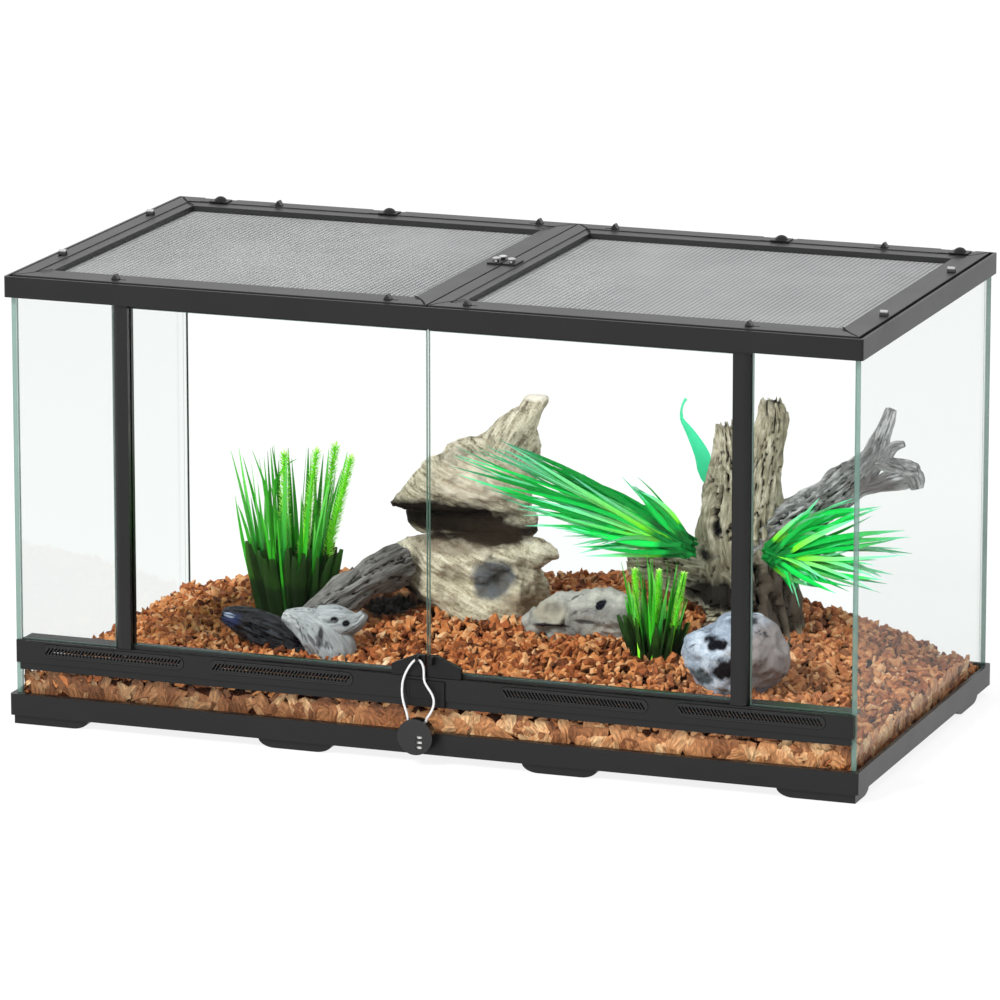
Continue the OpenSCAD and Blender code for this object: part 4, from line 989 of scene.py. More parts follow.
for name, seed, rate, small, large in (
        ("bark_chips_low", 11, 11000.0, 0.7, 1.15),
        ("bark_chips_mid", 23, 9500.0, 0.6, 1.1),
        ("bark_chips_high", 37, 3600.0, 0.9, 1.5)):
    mesh = tree.grow(
        bed.copy(), per_square_metre=rate, seed=seed, tilt=1.2, smallest=small, largest=large)
    clamp_chips(mesh)
    mesh.polygons.foreach_set("use_smooth", [False] * len(mesh.polygons))
    piece(name, mesh, "terrarium", "bark", "substrate")
    print(name, "faces", len(mesh.polygons))

# %% [markdown]
# Against the panes the layer is seen from the side, as larger slabs that stand on edge. Each
# leans on a pane, so they are laid in rows, from one corner to the next.

# %% Bark slabs
slab_rng = random.Random(5)


def slab_row(start, end, inward, top, depth_from):
    """Slabs that stand against a pane, from start to end."""
    a, b = Vector(start), Vector(end)
    run, far, row = 0.0, (b - a).length, []
    facing = Vector(inward).to_track_quat("Y", "Z").to_matrix()
    while run < far:
        wide, tall = slab_rng.uniform(10, 24), slab_rng.uniform(20, 36)
        thick = slab_rng.uniform(4, 6)
        found, sides = chunk(slab_rng, tall, wide, thick, 15, 0.5)
        turn = (facing @ Matrix.Rotation(slab_rng.gauss(0, 0.6), 3, "Y")
                @ Matrix.Rotation(slab_rng.uniform(0.0, 0.3), 3, "X"))
        height = slab_rng.uniform(28, top - 12)
        middle = a.lerp(b, run / far) + Vector(inward) * (depth_from + thick / 2) + Vector(
            (0, 0, height))
        shade_of_slab = slab_rng.uniform(0.1, 0.95)
        row.append(([middle + turn @ Vector((p.y, p.z, p.x)) for p in found], sides, found,
                    [shade_of_slab] * len(found)))
        run += wide * slab_rng.uniform(0.3, 0.55)
    return row


standing = []
for depth_from in (0.4, 2.0, 4.2):
    standing += slab_row((inner_low.x + 4, inner_low.y, 0), (inner_high.x - 4, inner_low.y, 0),
                         (0, 1, 0), 57, depth_from)
for side_pane, inward, top in ((inner_high.x, -1, 54), (inner_low.x, 1, 46)):
    standing += slab_row((side_pane, inner_low.y + 6, 0), (side_pane, 190, 0), (inward, 0, 0), top,
                         0.4)
points, faces, grain, tint = gathered(standing)
slabs = mesh_of("bark_slabs", points, faces, bark_slab)
keep_value(slabs, "grain", [c * mm for p in grain for c in p], "FLOAT_VECTOR")
keep_value(slabs, "tint", tint)
piece("bark_slabs", clamp_chips(slabs), "terrarium", "bark", "substrate")
print("bark slabs", len(standing))

# %% [markdown]
# ## Rocks
# A rock starts as a few convex lumps that a voxel remesh fuses into one skin. Its points are
# then pushed in and out in code. How far a point lies back is kept as an attribute, because the
# finish darkens the recesses with painted shade. Streaks follow the lie of the stone: level in
# the slabs, and upright in the horn that stands on them.

# %% Rock shapes
def lumps(groups, detail=3):
    """One convex skin for each group of balls (x, y, z, radius)."""
    work = bmesh.new()
    for group in groups:
        part = bmesh.new()
        for x, y, z, r in group:
            bmesh.ops.create_icosphere(part, subdivisions=detail, radius=r * mm,
                                       matrix=Matrix.Translation((x * mm, y * mm, z * mm)))
        hull = bmesh.ops.convex_hull(part, input=part.verts)
        bmesh.ops.delete(part, geom=list({g for g in hull["geom_interior"] + hull["geom_unused"]
                                          if isinstance(g, bmesh.types.BMVert)}), context="VERTS")
        work.from_mesh(written(part, "part"))
    return written(work, "lumps")


def remeshed(mesh, voxel):
    return baked(
        mesh,
        ("REMESH", {"mode": "VOXEL", "voxel_size": voxel * mm, "use_smooth_shade": True}))


def pushed(mesh, push):
    """Moves each point along its normal by push(point, normal) mm, and keeps how deep it lies."""
    normals = [v.normal.copy() for v in mesh.vertices]
    depth = []
    for v, normal in zip(mesh.vertices, normals):
        move, hollow = push(v.co / mm, normal)
        v.co = v.co + normal * (move * mm)
        depth.append(hollow)
    keep_value(mesh, "hollow", depth)
    mesh.update()
    return mesh


def turbulence(p, size, octaves=4):
    return noise.fractal(p / size, 1.0, 2.1, octaves)


def streak(p, degrees, long, thin):
    """Noise drawn out along a direction in the upright plane."""
    a = math.radians(degrees)
    u, w = p.x * math.cos(a) + p.z * math.sin(a), p.z * math.cos(a) - p.x * math.sin(a)
    return noise.fractal(Vector((u / long, p.y / 22, w / thin)), 0.8, 2.2, 3)


slab_top, horn_foot, neck = 180, 246, 258


def layered_push(p, normal):
    """Steep ridges on the horn, level ones on the top slab and slanting ones below."""
    if p.z > horn_foot:
        line = streak(p, 62, 60, 5)
    elif p.z > slab_top:
        line = streak(p, -8, 60, 5)
    else:
        line = streak(p, -24, 70, 5.5)
    broken = abs(turbulence(p + Vector((40, 0, 9)), 26, 3))
    rough = turbulence(p, 11, 4)
    bulk = (4.5 * turbulence(p, 44, 3) - 5.0 * broken + 1.4) * (0.3 if p.z > neck else 1)
    return bulk + 1.1 * line + 1.1 * rough, min(1, max(0, 0.4 + broken - line * 0.5 - rough * 0.4))


layered = remeshed(
    lumps([
        [(-52, 121, 252, 15), (-76, 121, 244, 13), (-98, 120, 235, 12)],
        [(-128, 100, 116, 26), (-144, 100, 124, 15)],
        [
            (-150, 106, 132, 12), (-100, 92, 130, 28), (-50, 88, 133, 30), (0, 108, 142, 16),
            (12, 112, 142, 9), (-120, 108, 100, 16)],
        [
            (-100, 84, 104, 24), (-60, 76, 88, 24), (-24, 78, 84, 22), (-8, 112, 90, 20),
            (-40, 146, 92, 26), (-110, 130, 96, 16), (-20, 100, 118, 26)],
        [
            (-138, 140, 166, 17), (-100, 140, 166, 20), (-60, 136, 168, 24), (-34, 132, 166, 22),
            (-26, 112, 158, 14)],
        [
            (-160, 112, 182, 6), (-130, 112, 200, 18), (-116, 112, 220, 16), (-86, 108, 222, 24),
            (-44, 112, 222, 28), (-24, 114, 196, 14), (-90, 108, 196, 14)],
        [(-13, 120, 300, 8), (1, 120, 302, 7), (-15, 120, 288, 12)],
        [(-15, 120, 288, 12), (-26, 121, 272, 18)],
        [(-26, 121, 272, 18), (-38, 122, 254, 25), (-28, 122, 236, 28)]]),
    2.2)
pushed(layered, layered_push)
print("layered rock points", len(layered.vertices))


def boulder_push(p, normal):
    big = turbulence(p, 40, 3) * 5
    ledge = abs(turbulence(p + Vector((9, 4, 30)), 24, 3)) * 5
    small = turbulence(p, 9, 3) * 1.0
    return big + small - ledge + 0.5, min(1, 0.1 + ledge / 7)


mid_rock = pushed(remeshed(lumps([
    [(26, 38, 84, 18), (50, 36, 100, 20), (92, 34, 106, 23), (120, 32, 108, 24),
     (124, 34, 86, 18)],
    [(24, 24, 100, 3), (42, 14, 114, 3), (66, 18, 116, 3), (58, 10, 96, 3), (30, 14, 92, 3)]]),
    2.0), boulder_push)
right_rock = pushed(remeshed(lumps([
    [(248, -62, 96, 30), (280, -58, 100, 44), (304, -60, 98, 28), (276, -60, 84, 38)]]), 2.2),
    boulder_push)

# %% [markdown]
# Stone is a ramp of greys over noise. Shadows in the clefts, dirt and stains are marks: soft
# ellipsoids with a ragged edge, laid over the tone one after the other.

# %% Rock finishes
paint = new_paint("layered_stone")
level_streaks = paint.noise(paint.turned(-22, (34.0, 60.0, 260.0)), 1.0, 5.0, 0.62)
upright_streaks = paint.noise(paint.turned(62, (34.0, 60.0, 260.0)), 1.0, 5.0, 0.62)
horn = paint.near(-18, 120, 290, 60, 120, 56, edge=0.3)
streaks = paint.blend(horn, level_streaks, upright_streaks)
speck = paint.noise(paint.place(), 420.0, 4.0, 0.6)
cloud = paint.noise(paint.place(), 20.0, 3.0)
blotch = paint.noise(paint.place((1.0, 1.0, 1.5)), 110.0, 4.0, 0.6)
pale = paint.ramp(
    streaks * 0.85 + speck * 0.4 - 0.12, (0.36, rgb(112, 104, 86)), (0.45, rgb(184, 176, 152)),
    (0.55, rgb(222, 214, 190)), (0.68, rgb(250, 246, 228)))
pale = paint.marked(pale, (rgb(146, 138, 114), (-60, 96, 104, 120, 150, 52), 0.5))
pale = paint.blend(paint.ramp(cloud, (0.45, 0.0), (0.7, 0.3)), pale, rgb(150, 146, 126))
cream = paint.ramp(streaks, (0.32, rgb(196, 178, 150)), (0.6, rgb(250, 242, 222)))
tone = paint.marked(
    pale,
    (cream, (-58, 80, 216, 66, 90, 30), 0.85),
    (rgb(74, 80, 88), (-34, 66, 121, 26, 60, 24, 0.3), 0.9),
    (rgb(104, 80, 56), (-6, 96, 90, 34, 60, 26), 0.75))
# Points that lie back are darkened towards a grey-brown: painted shade in the recesses.
recess_shade = paint.ramp(paint.stored("hollow"), (0.7, 0.0), (1.0, 0.35))
# Over that: near-black painted shade in the cleft between the slabs and in the cave at the lower
# left, a brown band below the cleft, and a near-white spot on the horn's tip.
shaded_tone = paint.marked(
    paint.blend(recess_shade, tone, rgb(92, 82, 66)),
    (rgb(34, 27, 21), (-112, 108, 172, 106, 300, 24, 0.35), 1.0),
    (rgb(44, 35, 27), (-40, 100, 162, 50, 300, 13, 0.4), 1.0),
    (rgb(112, 98, 82), (-84, 100, 149, 62, 300, 9), 0.7),
    (rgb(20, 16, 13), (-152, 80, 84, 52, 120, 30, 0.4), 1.0),
    (rgb(246, 240, 226), (-4, 120, 309, 18, 30, 8), 1.0))
layered_stone = paint.finish(shaded_tone, 0.85, specular=0.15, normal=paint.bump(
    streaks * 0.6 + blotch * 0.5 + speck * 0.35, 1.0, 0.003))


def grey_rock(name, low, mid, high, *marks):
    """Weathered stone, darker in its hollows as painted shade. The first mark lies under the cracks
    and that shade, the rest over them.
    """
    paint = new_paint(name)
    cloud = paint.noise(paint.place((1.0, 1.0, 1.6)), 26.0, 5.0, 0.6)
    speck = paint.noise(paint.place(), 380.0, 4.0, 0.65)
    tone = paint.ramp(cloud * 0.8 + speck * 0.25, (0.36, low), (0.52, mid), (0.68, high))
    tone = paint.marked(tone, *marks[:1])
    cracks = paint.ramp(paint.noise(paint.turned(24, (26.0, 60.0, 90.0)), 1.0, 5.0, 0.7),
                        (0.34, 0.85), (0.40, 0.0))
    tone = paint.blend(cracks, tone, rgb(52, 50, 56))
    # Points that lie back are darkened: painted shade in the hollows.
    shaded_tone = paint.blend(
        paint.ramp(paint.stored("hollow"), (0.5, 0.0), (1.0, 0.6)), tone, rgb(60, 56, 58))
    shaded_tone = paint.marked(shaded_tone, *marks[1:])
    return paint.finish(shaded_tone, 0.84, specular=0.2,
                  normal=paint.bump(cloud * 0.6 + speck * 0.4, 0.8, 0.002))


low_stone = grey_rock(
    "low_stone", rgb(92, 92, 92), rgb(138, 138, 132), rgb(176, 175, 166),
    (rgb(150, 146, 130), (46, 10, 106, 26, 30, 16), 0.9),
    # A black spot that stands for a hole and a dark line under the pale plate are painted shade;
    # another dark line lies to the right.
    (rgb(14, 15, 24), (104, 10, 117, 6, 30, 5, 0.3, 1.2), 1.0),
    (rgb(30, 28, 30), (50, 10, 92, 24, 24, 2.6, 0.4, 0.9), 0.95),
    (rgb(54, 52, 54), (86, 10, 99, 16, 30, 2.4, 0.4, 1.6), 0.9))
round_stone = grey_rock(
    "round_stone", rgb(96, 104, 118), rgb(144, 156, 170), rgb(206, 214, 224),
    (rgb(128, 120, 118), (318, -80, 104, 46, 90, 54), 0.95),
    (rgb(10, 11, 18), (260, -100, 116, 19, 30, 8, 0.4, 1.3), 1.0),
    (rgb(18, 14, 16), (276, -100, 90, 19, 30, 14, 0.4, 1.4), 1.0),
    (rgb(30, 38, 34), (246, -96, 80, 20, 30, 9, 0.4, 1.4), 0.85),
    (rgb(20, 22, 32), (286, -80, 138, 18, 40, 5, 0.4, 1.2), 0.85))
for mesh, material, name, node in (
        (layered, layered_stone, "layered_rock_face", "layered_rock"),
        (mid_rock, low_stone, "low_rock", "loose_rocks"),
        (right_rock, round_stone, "round_rock", "loose_rocks")):
    mesh.materials.clear()
    mesh.materials.append(material)
    piece(
        name, smooth(mesh, 70), "terrarium",
        "layered_stone" if material is layered_stone else "grey_stone", node)
print("rocks placed")

# %% [markdown]
# ## Driftwood
# Weathered wood is ruled by its grain: deep grooves run along each limb. A limb is therefore
# swept along a smooth line, with a cross-section that has ridges, and the ridges keep their
# place as the section moves on. The distance along the limb and round it is stored, so that
# the material can draw fibres and cracks that follow every bend.

# %% Driftwood limbs
def smooth_path(knots, step):
    """Points (x, y, z, r) along a Catmull-Rom line through the knots, about step apart."""
    path = []
    for i in range(len(knots) - 1):
        around = (max(0, min(len(knots) - 1, j)) for j in range(i - 1, i + 3))
        p0, p1, p2, p3 = (Vector(knots[j]) for j in around)
        count = max(2, int((p2 - p1).length / step))
        for k in range(count):
            t = k / count
            path.append(0.5 * (2 * p1 + (p2 - p0) * t + (2 * p0 - 5 * p1 + 4 * p2 - p3) * t * t
                               + (3 * p1 - p0 - 3 * p2 + p3) * t ** 3))
    path.append(Vector(knots[-1]))
    return path


def limb(knots, seed, ridges=9, depth=0.16, step=2.2, around=72, jag=0.0):
    """A grooved limb. Gives points, faces, grain and hollow."""
    path = smooth_path([tuple(k) for k in knots], step)
    phase = random.Random(seed).uniform(0, 50)
    points, grain, hollow = [], [], []
    side = Vector((0, 1, 0))
    run = 0.0
    for i, knot in enumerate(path):
        here = knot.to_3d()
        ahead = path[min(i + 1, len(path) - 1)].to_3d() - path[max(i - 1, 0)].to_3d()
        ahead.normalize()
        side = (side - ahead * side.dot(ahead)).normalized()
        over = ahead.cross(side)
        if i:
            run += (here - path[i - 1].to_3d()).length
        for k in range(around):
            a = 2 * math.pi * k / around
            ring = Vector((math.cos(a), math.sin(a), 0))
            wave = noise.fractal(
                Vector((ring.x * ridges * 0.5, ring.y * ridges * 0.5, run / 60 + phase)), 0.8, 2.2,
                5)
            knotty = noise.noise(Vector((ring.x * 1.6, ring.y * 1.6, run / 24 + phase * 2)))
            cleft = max(0, 0.10 - abs(wave + 0.1)) / 0.10
            r = knot[3] * (1 + depth * wave - depth * 1.3 * cleft + 0.18 * knotty)
            p = here + side * (math.cos(a) * r) + over * (math.sin(a) * r)
            if jag and i > len(path) - 6:
                p += ahead * (jag * noise.noise(Vector((ring.x * 3.4, ring.y * 3.4, phase))))
            points.append(p)
            grain.append((math.cos(a) * knot[3], math.sin(a) * knot[3], run))
            hollow.append(min(1, max(0, 0.25 + 0.75 * cleft - 0.25 * wave)))
    faces = []
    for i in range(len(path) - 1):
        for k in range(around):
            a, b = i * around + k, i * around + (k + 1) % around
            faces.append((a, b, b + around, a + around))
    faces.append(tuple(range(around - 1, -1, -1)))
    faces.append(tuple((len(path) - 1) * around + k for k in range(around)))
    return points, faces, grain, hollow


def wood(name, material, *limbs):
    """One piece of driftwood from its limbs."""
    points, faces, grain, hollow = gathered(limbs)
    mesh = mesh_of(name, points, faces, material)
    keep_value(mesh, "grain", [c * mm for g in grain for c in g], "FLOAT_VECTOR")
    keep_value(mesh, "hollow", hollow)
    piece(name, smooth(mesh, 50), "terrarium", "old_wood", "driftwood")
    print(name, "points", len(points))

# %% Wood finishes
def wood_finish(name, dark, mid, light, crevice, rough=0.8, specular=0.2, cracked=0.40, marks=()):
    """Weathered wood, with cracks that follow the grain, and painted shade in its grooves."""
    paint = new_paint(name)
    grain = paint.stored("grain", "Vector")
    fine, coarse = (
        paint.noise(paint.vectors("MULTIPLY", grain, (1.0, 1.0, along)), scale, 5.0, 0.65)
        for along, scale in ((0.14, 330.0), (0.25, 120.0)))
    weather = paint.noise(paint.place(), 20.0, 3.0)
    tone = paint.ramp(fine * 0.6 + coarse * 0.3 + weather * 0.25 - 0.06, (0.34, dark),
                      (0.50, mid), (0.66, light))
    tone = paint.marked(tone, *marks)
    cracks = paint.ramp(coarse, (cracked - 0.05, 1.0), (cracked, 0.0))
    tone = paint.blend(cracks, tone, crevice)
    # Darker where the limb's grooves lie deep: painted shade.
    deep = paint.blend(paint.ramp(paint.stored("hollow"), (0.4, 0.0), (0.8, 0.95)), tone, crevice)
    return paint.finish(deep, rough, specular=specular,
                  normal=paint.bump(fine * 0.6 + coarse, 0.9, 0.003))


grey_wood = wood_finish(
    "grey_wood", rgb(92, 88, 72), rgb(168, 162, 138), rgb(232, 226, 206), rgb(34, 29, 23),
    cracked=0.345,
    marks=(
        (rgb(64, 54, 48), (262, 118, 110, 46, 90, 78), 0.92),
        (rgb(14, 14, 20), (203, 96, 188, 7, 30, 14), 1.0),
        (rgb(16, 16, 22), (186, 92, 158, 18, 30, 8), 0.95),
        # The last mark is a near-black patch along the underside of the fallen log's thick end,
        # where it meets the stump: painted shade.
        (rgb(16, 14, 15), (200, 96, 118, 56, 60, 24), 0.97)))
cool_wood = wood_finish(
    "cool_wood", rgb(62, 61, 62), rgb(132, 133, 132), rgb(222, 224, 224), rgb(30, 28, 29),
    cracked=0.36,
    marks=(
        (rgb(96, 84, 82), (362, 128, 238, 34, 40, 12), 0.85),
        (rgb(44, 38, 34), (318, 128, 208, 26, 40, 12), 0.8)))
charred_wood = wood_finish(
    "charred_wood", rgb(8, 9, 12), rgb(14, 16, 21), rgb(52, 56, 62), rgb(4, 4, 5), rough=0.42,
    specular=0.5,
    # At the log's left end: a blue patch and a pale blue-white streak, both painted glints.
    marks=(
        (rgb(30, 50, 104), (-272, -72, 88, 16, 20, 9, 0.5, 1.2), 0.6),
        (rgb(170, 186, 210), (-276, -72, 93, 8, 20, 2.2, 0.5, 1.8), 0.8)))
pale_wood = wood_finish(
    "pale_wood", rgb(116, 120, 122), rgb(142, 147, 149), rgb(170, 174, 174), rgb(88, 90, 92),
    cracked=0.24,
    marks=(
        # The first two marks are black spots that stand for holes in the root: painted shade.
        (rgb(14, 14, 20), (-152.8, -90, 102, 5.4, 30, 3.8, 0.3, 0.6), 1.0),
        (rgb(14, 14, 20), (-140.7, -90, 99, 5, 30, 4.4, 0.3, 0.6), 1.0),
        (rgb(24, 24, 28), (-166, -90, 84, 4, 30, 14, 0.5, 0.8), 0.9)))
root_wood = wood_finish(
    "root_wood", rgb(66, 64, 62), rgb(98, 97, 94), rgb(134, 133, 130), rgb(34, 31, 30),
    cracked=0.36)
print("wood finishes ready")

# %% Driftwood pieces
wood(
    "stump", grey_wood,
    limb(
        [
            (222, 130, 60, 62), (224, 130, 100, 50), (214, 130, 150, 42), (206, 130, 190, 36),
            (206, 130, 232, 28), (202, 129, 262, 17), (198, 128, 287, 9)],
        3, ridges=12, depth=0.22, jag=14),
    limb(
        [
            (232, 132, 180, 30), (236, 130, 222, 22), (243, 128, 262, 18), (249, 128, 296, 16),
            (249, 128, 316, 11)],
        5, ridges=9, depth=0.24, jag=14),
    limb([(246, 134, 90, 34), (248, 134, 140, 28), (244, 132, 190, 26)], 9, ridges=8, depth=0.22))
wood("fallen_log", grey_wood,
     limb([(98, 122, 136, 12), (118, 122, 138, 17), (150, 122, 136, 24), (186, 124, 130, 30),
           (214, 126, 120, 34)], 7, ridges=8, depth=0.24, jag=8))
wood("long_branch", cool_wood,
     limb([(236, 132, 160, 30), (266, 134, 188, 24), (300, 137, 213, 20), (330, 139, 238, 19),
           (352, 140, 262, 13), (364, 140, 288, 9), (374, 140, 317, 5)], 13, ridges=8, depth=0.24),
     limb([(322, 139, 222, 13), (342, 140, 232, 9), (362, 140, 238, 8), (382, 140, 246, 11),
           (398, 140, 248, 10), (402, 140, 236, 6)], 15, ridges=7, depth=0.26),
     limb([(346, 139, 258, 10), (362, 140, 262, 8), (378, 140, 258, 8), (394, 140, 254, 11),
           (404, 140, 256, 7)], 17, ridges=7, depth=0.26),
     limb([(366, 139, 264, 7), (376, 140, 277, 5), (388, 140, 282, 3)], 18, ridges=5, depth=0.26))
wood("charred_log", charred_wood,
     limb([(-286, -57, 90, 8), (-268, -58, 87, 13), (-240, -60, 80, 18), (-208, -63, 70, 17),
           (-180, -64, 60, 14)], 17, ridges=8, depth=0.2, jag=6))
wood("pale_root", pale_wood,
     limb([(-216, -62, 96, 7), (-196, -64, 92, 15), (-174, -68, 84, 23), (-158, -70, 66, 22),
           (-150, -70, 50, 16)], 19, ridges=3, depth=0.08),
     limb([(-176, -64, 90, 18), (-152, -68, 94, 17), (-134, -68, 99, 10), (-126, -66, 107, 5)], 25,
          ridges=3, depth=0.1))
wood("upper_root", root_wood,
     limb([(-196, -50, 94, 12), (-176, -20, 106, 18), (-162, 4, 116, 18), (-150, 38, 124, 20),
           (-138, 70, 128, 22)], 21, ridges=6, depth=0.12))

# %% [markdown]
# ## Grass
# The grass is moulded plastic: a foot of short broad blades, taller blades that stand up out
# of it, and fronds with bristles all round. Every leaf is one folded strip along a smooth line
# through a few points, each with its own width.

# %% Leaves and grass
def leaf(knots, tint, face=(0, -1, 0), step=16.0, fold=0.3):
    """A leaf along knots (x, y, z, width) in mm, with its face towards the vector face."""
    path = smooth_path(knots, step)
    points, faces, tints, runs = [], [], [], []
    for i, knot in enumerate(path):
        ahead = path[min(i + 1, len(path) - 1)].to_3d() - path[max(i - 1, 0)].to_3d()
        side = ahead.cross(Vector(face)).normalized()
        half = max(knot[3] / 2, 0.15)
        dip = side.cross(ahead).normalized() * (half * fold)
        points += [knot.to_3d() + side * half, knot.to_3d() + dip, knot.to_3d() - side * half]
        tints += [tint] * 3
        runs += [i / (len(path) - 1)] * 3
    for i in range(len(path) - 1):
        a = 3 * i
        faces += [(a, a + 1, a + 4, a + 3), (a + 1, a + 2, a + 5, a + 4)]
    return points, faces, tints, runs


def leaves(name, material, parts):
    """One piece from many leaves."""
    points, faces, tints, runs = gathered(parts)
    mesh = mesh_of(name, points, faces, material)
    keep_value(mesh, "tint", tints)
    keep_value(mesh, "run", runs)
    piece(name, smooth(mesh, 80), "terrarium", "leaf_green", "plants")
    print(name, "faces", len(faces))

# %% Leaf finishes
def leaf_finish(name, foot, mid, tip, other, bright_from=0.35, dimmest=0.35):
    """Plastic leaf: foot, middle and tip colours, and another middle for a third of the leaves."""
    paint = new_paint(name)
    run, tint = paint.stored("run"), paint.stored("tint")
    streak = paint.noise(paint.place((1, 1, 0.3)), 300.0, 2.0)
    stops = (0.0, foot), (bright_from - 0.06, foot)
    usual = paint.ramp(run, *stops, (bright_from, mid), (0.78, mid), (1.0, tip))
    second = paint.ramp(run, *stops, (bright_from, other), (1.0, tip))
    tone = paint.blend(paint.ramp(tint, (0.64, 0.0), (0.68, 1.0)), usual, second)
    shift = paint.ramp(
        paint.node("ShaderNodeMath", [tint * 7.3], operation="FRACT") * 0.8 + streak * 0.3,
        (0.1, dimmest), (0.9, 1.1))
    return paint.finish(paint.product(tone, shift), 0.4, specular=0.2,
                        normal=paint.bump(streak, 0.2, 0.0005))


foot_green = leaf_finish(
    "foot_green", rgb(20, 44, 14), rgb(34, 66, 20), rgb(40, 80, 24), rgb(58, 104, 30), 0.5)
grass_green = leaf_finish("grass_green", rgb(28, 84, 20), rgb(54, 176, 34), rgb(110, 214, 84),
                          rgb(22, 138, 46))
lime_green = leaf_finish("lime_green", rgb(120, 236, 40), rgb(160, 255, 60), rgb(214, 255, 150),
                         rgb(186, 255, 96), 0.1, 0.9)
emerald = leaf_finish("emerald_leaf", rgb(8, 128, 48), rgb(16, 212, 80), rgb(130, 250, 205),
                      rgb(120, 236, 36), 0.25)
turquoise = leaf_finish("turquoise_leaf", rgb(50, 255, 170), rgb(80, 255, 190), rgb(96, 240, 180),
                        rgb(80, 255, 190), 0.25, 1.05)
print("leaf finishes ready")

# %% Blades and fronds
def stand(rng, centre, spread, low, high, width, lean, bow=0.05):
    """Knots and face of a blade that stands up from an oval foot and leans out of it."""
    a, r = rng.uniform(0, 2 * math.pi), math.sqrt(rng.random())
    across, back = r * math.cos(a), r * math.sin(a)
    root = Vector((centre[0] + spread[0] * across, centre[1] + spread[1] * back, centre[2]))
    tall = rng.uniform(low, high)
    out = Vector((lean * across + rng.gauss(0, lean * 0.3), lean * back * 0.6, 1)) * tall
    bend = Vector((rng.gauss(0, bow), rng.gauss(0, bow), 0)) * tall
    turn = rng.uniform(-1.0, 1.0)
    face = Vector((math.sin(turn), -math.cos(turn), 0.1))
    wide = width * rng.uniform(0.75, 1.2)
    shares = (0, 0.8), (0.35, 1.0), (0.7, 0.75), (1.0, 0.08)
    return [(*(root + out * t + bend * (t * t - t * 0.4)), wide * w) for t, w in shares], face


def tuft(name, centre, spread, seed, foot_tall, blades, low, high, width, lean):
    """A foot of short dark blades, and tall blades that come up out of it."""
    rng = random.Random(seed)
    short, tall = [], []
    for _ in range(blades):
        knots, face = stand(rng, centre, spread, foot_tall * 0.82, foot_tall, width * 1.7,
                            lean * 1.2, 0.02)
        knots[2] = (*knots[2][:3], width * 1.5)
        knots[3] = (*knots[3][:3], width * 0.7)
        short.append(leaf(knots, rng.random() * 0.66, face))
    for _ in range(blades * 2 // 3):
        knots, face = stand(rng, centre, (spread[0] * 0.9, spread[1] * 0.9), low, high, width,
                            lean)
        tall.append(leaf(knots, rng.random(), face))
    leaves(name + "_foot", foot_green, short)
    leaves(name + "_blades", grass_green, tall)


golden_angle = 2.399963


def frond(root, tip, seed, bristle, count):
    """A stem with soft bristles all round, from root to tip."""
    rng = random.Random(seed)
    a, b = Vector(root), Vector(tip)
    along = (b - a).normalized()
    across = along.cross(Vector((0, -1, 0))).normalized()
    toward = across.cross(along)
    parts = [leaf([(*a, 2.4), (*a.lerp(b, 0.5), 2.6), (*b, 1.6)], 0.3)]
    for i in range(count):
        t = 0.35 + 0.65 * i / count
        angle = i * golden_angle + rng.uniform(-0.3, 0.3)
        out = across * math.cos(angle) + toward * math.sin(angle)
        size = bristle * (0.8 + 0.2 * math.sin(math.pi * t)) * rng.uniform(0.8, 1.1)
        start = a.lerp(b, t * 0.97)
        end = start + out * (size * 0.85) + along * (size * 0.45)
        middle = start.lerp(end, 0.5) - along * (size * 0.06)
        parts.append(leaf([(*start, 1.8), (*middle, 1.8), (*end, 1.0)], rng.random(),
                          along.lerp(-out, 0.4), step=size))
    return parts

# %% Grass pieces
tuft("tall_grass", (-246, 34, 72), (34, 24), 31, 80, 96, 104, 184, 5.6, 0.18)
parts = []
for i, (root, tip) in enumerate((
        ((-251, 26, 78), (-251, 27, 251)), ((-240, 24, 78), (-214, 27, 257)),
        ((-228, 36, 80), (-200, 46, 260)), ((-220, 28, 80), (-176, 29, 252)))):
    parts += frond(root, tip, 40 + i, 8.6, 380)
leaves("tall_grass_fronds", lime_green, parts)
parts = []
for root, bend, tip in (
        ((-284, 30, 80), (-300, 30, 150), (-308, 30, 196)),
        ((-276, 32, 80), (-296, 32, 160), (-306, 32, 186)),
        ((-262, 30, 120), (-268, 30, 190), (-288, 30, 246)),
        ((-256, 26, 120), (-262, 26, 200), (-266, 26, 251)),
        ((-262, 34, 120), (-264, 34, 214), (-240, 34, 240))):
    parts.append(leaf([(*root, 4.0), (*bend, 4.0), (*tip, 0.4)], 0.2))
leaves("tall_grass_stray", grass_green, parts)
tuft("low_grass", (171, -14, 70), (22, 16), 33, 50, 90, 62, 112, 4.2, 0.22)
parts = []
for i, (root, tip) in enumerate((
        ((160, -30, 76), (150, -16, 168)), ((174, -30, 76), (178, -20, 170)),
        ((190, -26, 76), (203, -14, 168)))):
    parts += frond(root, tip, 60 + i, 6.0, 260)
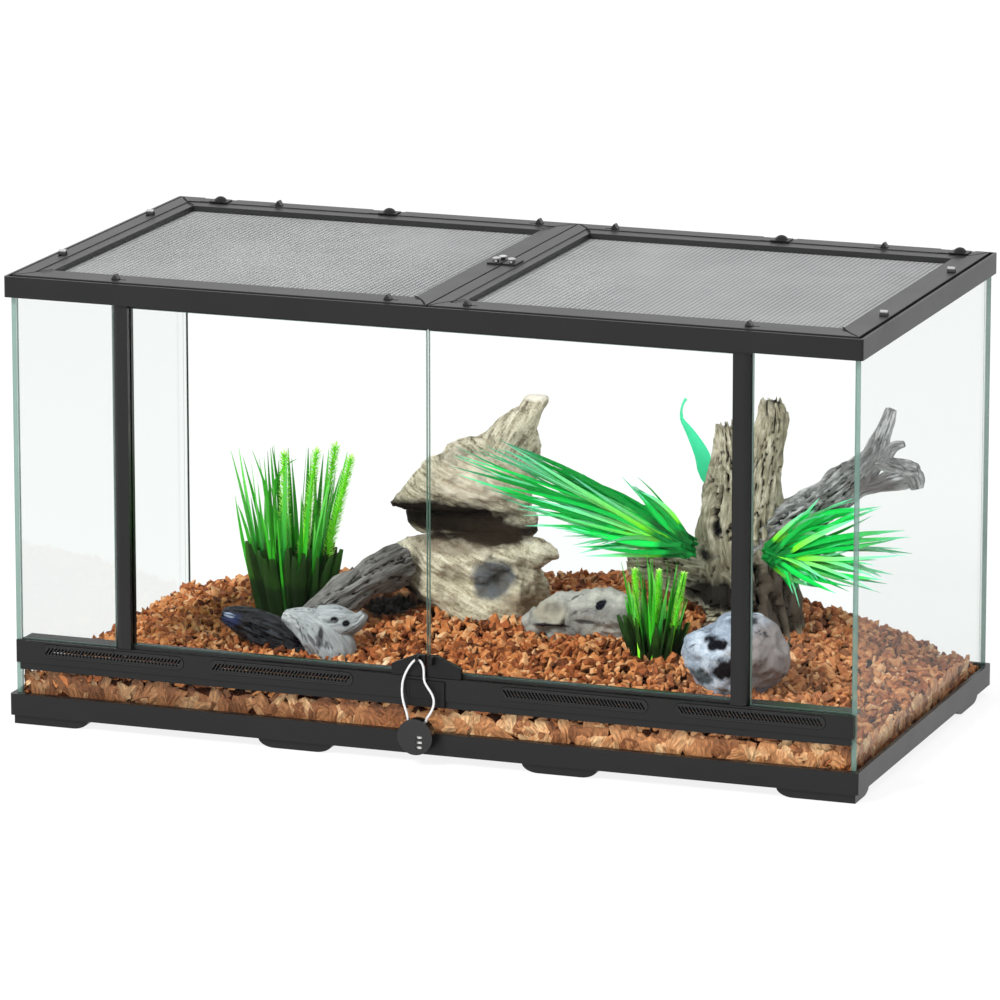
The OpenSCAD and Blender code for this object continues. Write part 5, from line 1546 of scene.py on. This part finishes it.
leaves("low_grass_fronds", lime_green, parts)

# %% [markdown]
# ## Leafy bushes
# Long narrow leaves spring from a stem and reach sideways. Each bush is a set of targets:
# a leaf starts near the root, ends near its target, and bows up on the way.

# %% Bushes
def bush(name, root, tips, seed, each=6, width=5.4, jitter=8):
    """A few leaves to each target."""
    rng = random.Random(seed)
    parts = []
    for tip in tips:
        for _ in range(each):
            near = Vector(root) + Vector([rng.uniform(-9, 9) for _ in range(3)])
            spread = [rng.uniform(-jitter, jitter) * k for k in (1.0, 2.0, 1.0)]
            far = near.lerp(Vector(tip) + Vector(spread), rng.uniform(0.74, 1.0))
            lift = Vector((0, 0, rng.uniform(-6, 14)))
            wide = width * rng.uniform(0.7, 1.25)
            face = Vector((rng.gauss(0, 0.3), -1, rng.gauss(0.2, 0.6)))
            parts.append(leaf([(*near, wide * 0.7), (*(near.lerp(far, 0.35) + lift), wide),
                               (*(near.lerp(far, 0.7) + lift * 0.8), wide * 0.75), (*far, 0.3)],
                              rng.random(), face))
    leaves(name, emerald, parts)


left_tips = [
    (-78, 50, 266), (-52, 48, 280), (-34, 50, 281), (-78, 55, 244), (-42, 45, 224), (-4, 50, 192),
    (10, 52, 226), (30, 48, 200), (52, 50, 164), (54, 54, 246), (62, 48, 240), (20, 50, 250),
    (90, 50, 226), (112, 52, 250), (126, 48, 236), (40, 56, 180), (80, 46, 180)]
bush("left_bush", (186, 48, 176), left_tips, 71)
right_tips = [(330, 50, 238), (358, 52, 237), (374, 48, 238), (394, 50, 233), (426, 50, 209),
              (422, 48, 187), (408, 52, 160), (400, 50, 154), (360, 48, 146), (308, 52, 130),
              (330, 50, 150), (380, 50, 200), (350, 52, 210)]
bush("right_bush", (274, 50, 176), right_tips, 73)
leaves("broad_leaf", turquoise, [
    leaf([(202, 172, 90, 4), (188, 172, 190, 6), (166, 171, 224, 17), (160, 170, 246, 17),
          (147, 170, 269, 10), (137, 170, 284, 4), (138, 170, 298, 2.4), (142, 170, 305, 3.6)],
         0.5, step=6.0)])
